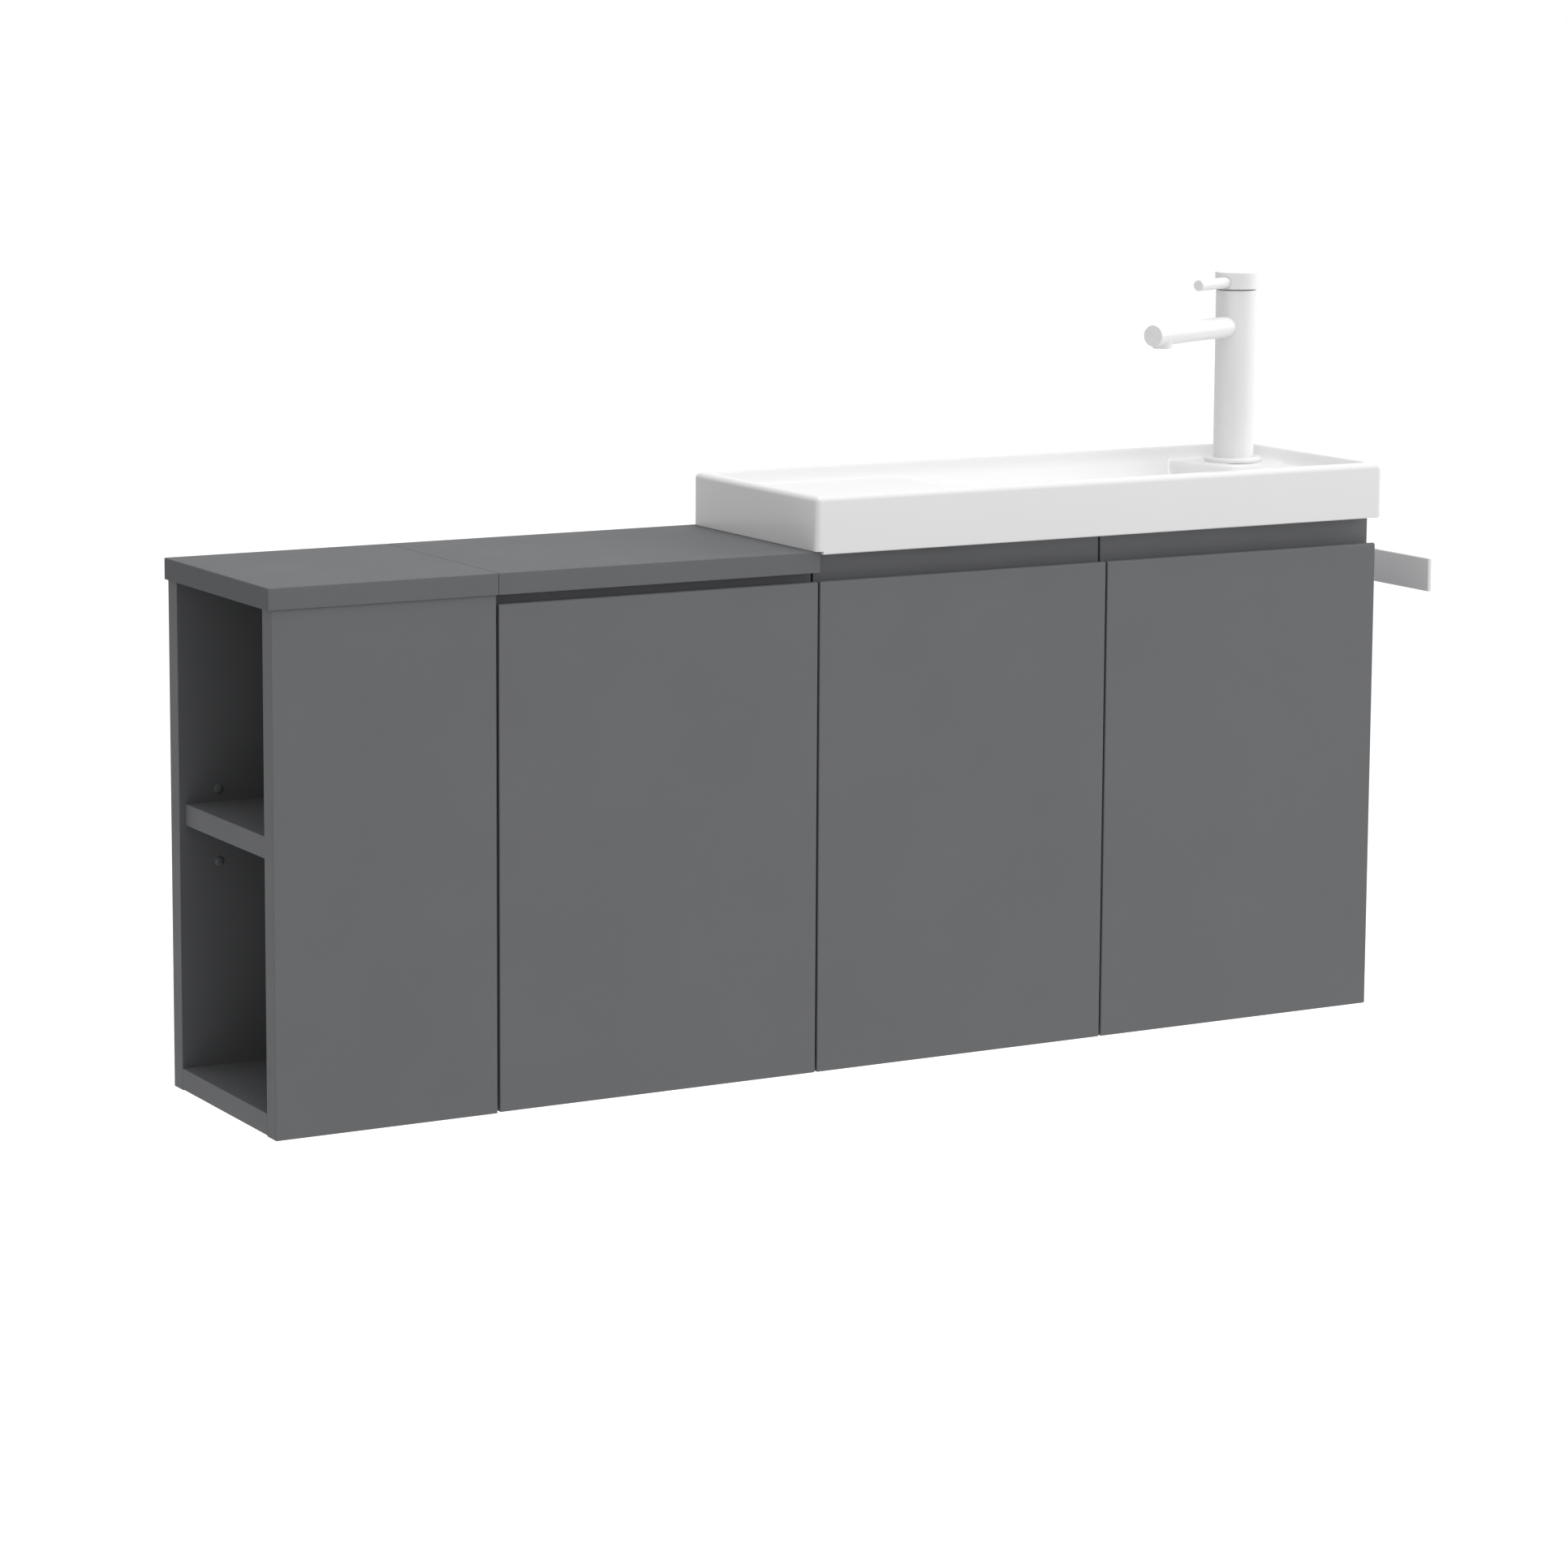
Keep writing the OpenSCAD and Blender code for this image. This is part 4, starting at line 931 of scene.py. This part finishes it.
trapShape = {
    "place": (0.096, -0.1365, 0.040),  # metres
    "fit": 0.1,
    "through": 14.0,
    "grid": (31.5, 9.5),  # radius and top
    "gridRim": (  # inward and down, from the flange's underside over the rim
        (0.6, 2.5), (0.0, 1.9), (0.0, 1.4), (0.5, 0.6), (2.4, 0.0), (6.5, 0.0), (8.5, 0.5),
    ),
    "gridMiddle": (2.0, 0.8),
    "gridRings": ((6, 6.0), (12, 13.0)),  # holes in a ring, and its radius
    "gridHole": ((2.2, -6.0), (2.2, -0.95), (2.5, 2.0)),  # radius, and height from the top
    "wasteLow": -63.0,
    "wasteBore": (17.5, 0.6),  # radius and chamfer
    "flange": 2.5,
    "threadTop": 4.5,  # down from the grid's top, as is the neck
    "neckTop": 4.0,
    "threadRadius": 20.9,
    "thread": (0.9, 2.4),  # depth and pitch
    "bodyTop": -195.0,
    "bodyLow": -255.0,
    "bodyWall": 3.0,
    "bodyCrown": 11.0,
    "bodyShoulder": ((0.0, 12.0), (1.0, 9.6), (3.4, 8.2)),  # inward and down
    "bodyNeck": ((8.0, 7.4), (5.0, 5.0), (5.0, 0.0)),  # out from the tube, and down
    "branchHeight": -225.0,
    "branch": ((4.0, 11.5), (3.5, 12.0)),  # out from the tube, and past the body's wall
    "branchRoot": 6.0,
    "branchInto": 1.5,
    "bottleLow": -325.0,
    "bottleRadius": 31.0,
    "bottleRound": 5.0,
    "bottleFoot": ((14.0, 3.0), (14.0, 0.4), (14.4, 0.0)),  # radius, and up from the base
    "bottleRibs": (8.0, 38.0),  # up from the base
    "bottleRib": (15.0, 0.8),  # degrees from groove to groove, and the groove's depth
    "bottleStep": 0.4,
    "bottleLip": (3.3, 10.0),
    "bottleInside": ((6.0, 6.0), (9.0, 3.2)),  # inward, and up from the base
    "tubeRadius": 16.0,
    "tube": (1.5, 0.4, 25.0, 8.0),  # wall, edge, down into the body and up into the waste
    "collar": (1.0, 2.5),  # inward from the thread, and down from the waste
    "wallAt": 136.5,
    "outlet": (2.0, 0.2),  # start inside the body, and step behind the nut
    "nutBore": 0.3,
    "nutEdges": (0.6, 0.5, 1.2),  # outer and inner edge, and rim above the ribs
    "nutThrough": 20.0,
    "nutRib": (12.0, 0.9),
    "upperNut": (4.0, -6.0, 14.0, 4.0),  # out from the thread or tube, start, end and lip
    "middleNut": (9.0, 0.0, 9.0, 2.0),
    "rearNut": (8.0, 12.0, 21.0, 2.0),
    "sharpFrom": 30,  # degrees
}


def grooveSides(piece, outer, low, high, every, depth):
    # presses grooves into the outer wall, which leave a rib between two of them
    skin, grooveShare, slope = 0.3, 0.75, 0.2
    chooseOnly(piece)
    for face in piece.data.polygons:
        middle = face.center
        away, height = hypot(middle.x, middle.y) * 1000, middle.z * 1000
        upright = abs(face.normal.z) < 0.1 and away > outer - skin
        angle = degrees(atan2(middle.y, middle.x)) % every
        face.select = upright and low < height < high and angle < every * grooveShare
    bpy.ops.object.mode_set(mode="EDIT")
    bpy.ops.mesh.select_mode(type="FACE")
    bpy.ops.mesh.inset(thickness=slope / 1000, depth=-depth / 1000, use_boundary=True)
    endEdit()


def makeNut(outer, low, high, lip, values):
    # a ribbed plastic nut with a lip below its ribs
    bore, (edge, inner, crown) = values["tubeRadius"] + values["nutBore"], values["nutEdges"]
    nut = turnPiece([
        (outer - edge, low), (outer, low + edge), (outer, low + lip), (outer, high - crown),
        (outer, high - edge), (outer - edge, high), (bore + inner, high), (bore, high - inner),
        (bore, low + inner), (bore + inner, low),
    ], 120)
    grooveSides(nut, outer, low + lip, high - crown, *values["nutRib"])
    settleNormals(nut, values["sharpFrom"])
    return nut


def turnAside(piece, values):
    # lays a piece along the branch, towards the wall
    return movePiece(piece, (0, 0, values["branchHeight"] / 1000), tip=90, turn=90)


def makeWaste(values):
    (wide, top), (middle, dip) = values["grid"], values["gridMiddle"]
    low, radius, under = values["wasteLow"], values["threadRadius"], top - values["flange"]
    bore, chamfer = values["wasteBore"]
    waste = turnPiece(
        [(bore, under), (bore, low + chamfer), (bore + chamfer, low)]
        + threadLines(radius, *values["thread"], low, top - values["threadTop"])
        + [(radius, top - values["neckTop"]), (radius, under)]
        + [(wide - inward, top - down) for inward, down in values["gridRim"]]
        + [(middle, top - dip)],
        96, ring=False,
    )
    drill = [(size, top + height) for size, height in values["gridHole"]]
    for count, ringRadius in values["gridRings"]:
        for hole in range(count):
            angle = 2 * pi * hole / count
            place = (ringRadius * cos(angle) / 1000, ringRadius * sin(angle) / 1000, 0)
            cutTurned(waste, drill, 24, place)
    healMesh(waste)
    finishTurned(waste, "waste_with_grid", "waste_body", values)


def makeTrapBody(values):
    top, low = values["bodyTop"], values["bodyLow"]
    wide, tube = values["bottleRadius"], values["tubeRadius"]
    inner, bore, crown = wide - values["bodyWall"], tube + values["fit"], top - values["bodyCrown"]
    body = turnPiece(
        [(wide, low)]
        + [(wide - inward, top - down) for inward, down in values["bodyShoulder"]]
        + [(tube + out, top - down) for out, down in values["bodyNeck"]]
        + [(bore, top), (bore, crown), (inner, crown), (inner, low)],
        96,
    )
    ends = [(tube + out, wide + past) for out, past in values["branch"]]
    arm = turnPiece([(ends[0][0], values["branchRoot"]), *ends], 72, ring=False)
    turnAside(arm, values)
    core = wide - values["branchInto"]
    cutTurned(arm, [(core, low - 1), (core, crown)], 72)
    useCutter(body, arm, "UNION")
    passage = turnPiece([(bore, 0), (bore, wide + values["through"])], 72, ring=False)
    useCutter(body, turnAside(passage, values))
    healMesh(body)
    finishTurned(body, "trap_body_moulded", "trap_body", values)


def makeBottle(values):
    base, top, wide = values["bottleLow"], values["bodyLow"], values["bottleRadius"]
    soft, step = values["bottleRound"], values["bottleStep"]
    ribsLow, ribsHigh = (base + height for height in values["bottleRibs"])
    wall, lip = values["bottleLip"]
    # the arc of the base runs from its lowest point out to the side
    lowerArc = arc(wide - soft, base + soft, soft, 6, rise=-soft)[-2::-1]
    bottle = turnPiece(
        [(radius, base + up) for radius, up in values["bottleFoot"]]
        + [(wide - soft, base)] + lowerArc
        + [(wide, ribsLow), (wide, ribsHigh), (wide, top - step), (wide - step, top)]
        + [(wide - wall, top), (wide - wall, top + lip)]
        + [(wide - values["bottleInside"][0][0], top + lip)]
        + [(wide - inward, base + up) for inward, up in values["bottleInside"]],
        120, ring=False,
    )
    grooveSides(bottle, wide, ribsLow, ribsHigh, *values["bottleRib"])
    finishTurned(bottle, "trap_bottle_moulded", "trap_bottle", values)


def makeTrapNuts(values):
    tube, thread, start = values["tubeRadius"], values["threadRadius"], values["wasteLow"]
    upper, middle, rear = (
        makeNut(radius + out, level + low, level + high, lip, values)
        for radius, level, (out, low, high, lip) in (
            (thread, start, values["upperNut"]),
            (tube, values["bodyTop"], values["middleNut"]),
            (tube, values["bottleRadius"], values["rearNut"]),
        )
    )
    hollow = thread + values["fit"]
    ends = (start - values["collar"][1], start + values["nutThrough"])
    cutTurned(upper, [(hollow, height) for height in ends], 96)
    healMesh(upper)
    settleNormals(upper, values["sharpFrom"])
    turnAside(rear, values)
    chooseOnly(upper)
    for nut in (middle, rear):
        nut.select_set(True)
    bpy.ops.object.join()
    movePiece(upper, values["place"])
    standIn(upper, "trap_nuts_ribbed", "trap_nuts")


def makeTrapTubes(values):
    tube, wasteLow, (inward, down) = values["tubeRadius"], values["wasteLow"], values["collar"]
    wall, edge, tubeDown, tubeUp = values["tube"]
    bore, low, high = tube - wall, values["bodyLow"] - tubeDown, wasteLow + tubeUp
    collar = values["threadRadius"] - inward
    inlet = turnPiece([
        (bore, low), (tube - edge, low), (tube, low + edge), (tube, wasteLow - down),
        (collar, wasteLow - down), (collar, wasteLow), (tube, wasteLow), (tube, high - edge),
        (tube - edge, high), (bore, high),
    ], 72)
    finishTurned(inlet, "trap_inlet_moulded", "trap_inlet_tube", values)

    wide, wallAt, (inside, step) = values["bottleRadius"], values["wallAt"], values["outlet"]
    start, nutEnd, slim = wide - inside, wide + values["rearNut"][2] + 1, tube - step
    outlet = turnPiece([
        (bore, start), (slim, start), (slim, nutEnd), (tube, nutEnd), (tube, wallAt),
        (bore, wallAt),
    ], 72)
    turnAside(outlet, values)
    finishTurned(outlet, "trap_outlet_moulded", "trap_outlet_tube", values)


makeWaste(trapShape)
makeTrapBody(trapShape)
makeBottle(trapShape)
makeTrapNuts(trapShape)
makeTrapTubes(trapShape)
print("waste and trap made")


# tap inlet with its thread, in millimetres

inletShape = {
    "place": tapShape["place"],
    "low": -46.0,
    "free": -24.0,
    "top": 20.0,
    "radius": 10.48,
    "neck": 10.18,
    "bore": 7.0,
    "chamfer": 0.5,
    "thread": (0.8, 1.81),  # depth and pitch
    "sharpFrom": 25,  # degrees
}


def makeInlet(values):
    bore, low, chamfer = values["bore"], values["low"], values["chamfer"]
    free, top, neck = values["free"], values["top"], values["neck"]
    inlet = turnPiece(
        [(bore, top), (bore, low + chamfer), (bore + chamfer, low)]
        + threadLines(values["radius"], *values["thread"], low, free)
        + [(neck, free), (neck, top)],
        64,
    )
    finishTurned(inlet, "tap_inlet_threaded", "tap_inlet", values)


makeInlet(inletShape)
print("tap inlet made")


# small pieces that repeat: one is modelled, and each spot gets a copy with its own mesh

columnCorner = Vector((-0.8225, -0.222, -0.425))  # lower, front and left


def placeCopies(piece, names, slot, spots):
    # a spot is a body, a place on it and the direction of the piece's top
    for count, (body, place, up) in enumerate(spots, 1):
        copy = bpy.data.objects.new(names, piece.data.copy())
        scene.collection.objects.link(copy)
        turn = Vector(up).to_track_quat("Z", "Y").to_matrix().to_4x4()
        copy.matrix_world = Matrix.Translation(place) @ turn
        applyPlace(copy)
        finishPiece(copy, names.format(count), body, slot)
    bpy.data.meshes.remove(piece.data)  # the modelled one goes with its mesh


# screws of the hinges, in millimetres

screwShape = {
    "stem": 1.75,
    "tip": 0.3,
    "length": 11.0,
    "thread": (0.35, 1.1),  # depth and pitch
    "threadEnds": (1.2, 1.6),  # up from the tip, and down from the head
    "neck": (0.2, 1.4),  # inward from the stem, and down from the head
    "head": (3.8, 0.25, 1.1),  # radius, edge and dome
    "headMiddle": 0.02,
    "seat": 0.4,
    "slot": (4.0, 0.85, 1.3),  # length, width and depth
}
hingeShape = {
    "edges": (("cupboard_door", 520.5, -1), ("left_door", 522.5, 1), ("right_door", 1122.5, -1)),
    "heights": (85.0, 348.5),
    "cupAt": 22.5,
    "cupFace": 20.2,
    "cupScrews": 22.5,
    "sideIn": 18.0,
    "plateAt": 58.0,
    "plateFace": 3.0,
    "plateScrews": 16.0,
    "armFace": 15.5,
    "armScrews": (38.0, 61.0),
}


def makeScrew(values):
    # a cross-headed screw that points down, with the top of its seat at the origin
    stem, low, (head, edge, dome) = values["stem"], -values["length"], values["head"]
    (threadUp, threadDown), (neckIn, neckDown) = values["threadEnds"], values["neck"]
    screw = turnPiece(
        [(values["tip"], low)]
        + threadLines(stem, *values["thread"], low + threadUp, -threadDown)
        + [(stem - neckIn, -neckDown), (head - values["seat"], 0.0), (head, edge)]
        + arc(values["headMiddle"], edge, head, 6, first=1, rise=dome),
        32, ring=False,
    )
    length, width, depth = (measure / 1000 for measure in values["slot"])
    for turn in (0, 90):
        slot = makeBlock((0, 0, dome / 1000), (length, width, 2 * depth))
        useCutter(screw, movePiece(slot, (0, 0, 0), turn=turn))
    healMesh(screw)
    settleNormals(screw, 40)
    return screw


def hingeSpots(values, body, edge, toward, height):
    # where one hinge's screws sit, what they ride on and where their heads point
    def at(x, y, z):
        return columnCorner + Vector((edge + toward * x, y, height + z)) / 1000

    side, spots = values["sideIn"], []
    for end in (-1, 1):
        cupPlace = at(values["cupAt"], values["cupFace"], end * values["cupScrews"])
        platePlace = at(side + values["plateFace"], values["plateAt"], end * values["plateScrews"])
        spots += [(body, cupPlace, (0, 1, 0)), ("cabinets", platePlace, (toward, 0, 0))]
    for along in values["armScrews"]:
        spots.append(("cabinets", at(side + values["armFace"], along, 0), (toward, 0, 0)))
    return spots


screwSpots = [
    spot
    for body, edge, toward in hingeShape["edges"]
    for height in hingeShape["heights"]
    for spot in hingeSpots(hingeShape, body, edge, toward, height)
]
placeCopies(makeScrew(screwShape), "hinge_screw_{:02d}", "nickel_steel", screwSpots)
print("hinge screws made:", len(screwSpots))


# caps in the spare shelf holes of the column, in millimetres

spareCapShape = {
    "across": (37.0, 152.0),
    "heights": (200.5, 264.5),
    "faces": ((19.0, 1), (203.0, -1)),
    "radius": 4.2,
    "edge": 0.15,
    "middle": 0.02,
    "dome": 1.5,
    "stem": 2.35,
    "stemChamfer": (0.6, 0.8),
    "seat": 0.1,
    "length": 7.5,
}


def makeSpareCap(values):
    wide, stem, low = values["radius"], values["stem"], -values["length"]
    inward, up = values["stemChamfer"]
    cap = turnPiece(
        [(stem - inward, low), (stem, low + up), (stem, 0), (wide - values["seat"], 0)]
        + [(wide, values["edge"])]
        + arc(values["middle"], values["edge"], wide, 8, first=1, rise=values["dome"]),
        40, ring=False,
    )
    settleNormals(cap, 40)
    return cap


capSpots = [
    ("cabinets", columnCorner + Vector((across, face, height)) / 1000, (0, toward, 0))
    for face, toward in spareCapShape["faces"]
    for across in spareCapShape["across"]
    for height in spareCapShape["heights"]
]
placeCopies(makeSpareCap(spareCapShape), "spare_hole_cap_{}", "grey_lacquer", capSpots)
print("spare hole caps made:", len(capSpots))


# studio: floor, world and lamps

white = (1.0, 1.0, 1.0, 1.0)
studio = {
    "floorSize": 30,
    "floorDrop": 0.8,  # from the cabinets' underside to the floor
    "floorTone": (226, 226, 226),
    "floorRoughness": 0.8,
    "nearGlow": 0.58,
    "farGlow": 0.75,
    "glowReach": (1.0, 4.0),  # metres from the object, from near to far
    "worldStrength": 0.475,
    "lamps": {  # place, size and power
        "keyLamp": ((3.6, -1.2, 1.3), 2.2, 54.0),
        "sideLamp": ((3.8, 0.4, 0.9), 2.0, 13.0),
        "frontLamp": ((0.2, -4.0, 0.85), 2.4, 15.5),
        "highLamp": ((-0.5, -2.5, 3.2), 2.4, 17.0),
        "topLamp": ((0.0, -0.4, 3.8), 2.4, 64.0),
    },
}


def mathNode(tree, operation, first, second):
    return addNode(tree, "ShaderNodeMath", {0: first, 1: second}, operation=operation).outputs[0]


def seenDirectly(tree):
    # 1 for what the camera sees, also in a mirror or through glass, and 0 for soft light
    rays = addNode(tree, "ShaderNodeLightPath").outputs
    seen = mathNode(tree, "MAXIMUM", rays["Is Camera Ray"], rays["Is Glossy Ray"])
    return mathNode(tree, "MAXIMUM", seen, rays["Is Transmission Ray"])


def makeFloor(values):
    bpy.ops.mesh.primitive_grid_add(
        x_subdivisions=8, y_subdivisions=8, size=values["floorSize"],
        location=(0, 0, cadBox[0].z - values["floorDrop"]),
    )
    floor = bpy.context.object
    floor.name = "studioFloor"
    material = bpy.data.materials.new("paleFloor")
    material.use_nodes = True
    tree = material.node_tree
    where = addNode(tree, "ShaderNodeTexCoord").outputs["Object"]
    away = addNode(tree, "ShaderNodeVectorMath", {0: where}, operation="LENGTH")
    near, far = values["glowReach"]
    reach = addNode(tree, "ShaderNodeMapRange", {
        "Value": away.outputs["Value"],
        "From Min": near,
        "From Max": far,
        "To Min": values["nearGlow"],
        "To Max": values["farGlow"],
    }).outputs["Result"]
    setSockets(tree, tree.nodes["Principled BSDF"], {
        "Base Color": sRgb(*values["floorTone"]),
        "Roughness": values["floorRoughness"],
        "Specular IOR Level": 0.0,
        "Emission Color": white,
        "Emission Strength": mathNode(tree, "MULTIPLY", seenDirectly(tree), reach),
    })
    floor.data.materials.append(material)


def makeWorld(values):
    world = bpy.data.worlds.new("studioWorld")
    scene.world = world
    world.use_nodes = True
    tree = world.node_tree
    span = {"Value": seenDirectly(tree), "To Min": values["worldStrength"], "To Max": 1.0}
    strength = addNode(tree, "ShaderNodeMapRange", span).outputs["Result"]
    setSockets(tree, tree.nodes["Background"], {"Color": white, "Strength": strength})


def makeLamp(name, place, size, power):
    bpy.ops.object.light_add(type="AREA", location=place)
    lamp = bpy.context.object
    lamp.name = name
    lamp.data.shape = "DISK"
    lamp.data.size = size
    lamp.data.energy = power
    aim = (cadBox[0] + cadBox[1]) / 2 - Vector(place)
    lamp.rotation_euler = aim.to_track_quat("-Z", "Y").to_euler()


makeFloor(studio)
makeWorld(studio)
for lampName, (lampPlace, lampSize, lampPower) in studio["lamps"].items():
    makeLamp(lampName, lampPlace, lampSize, lampPower)
scene.view_settings.view_transform = "Standard"
print("studio lit")
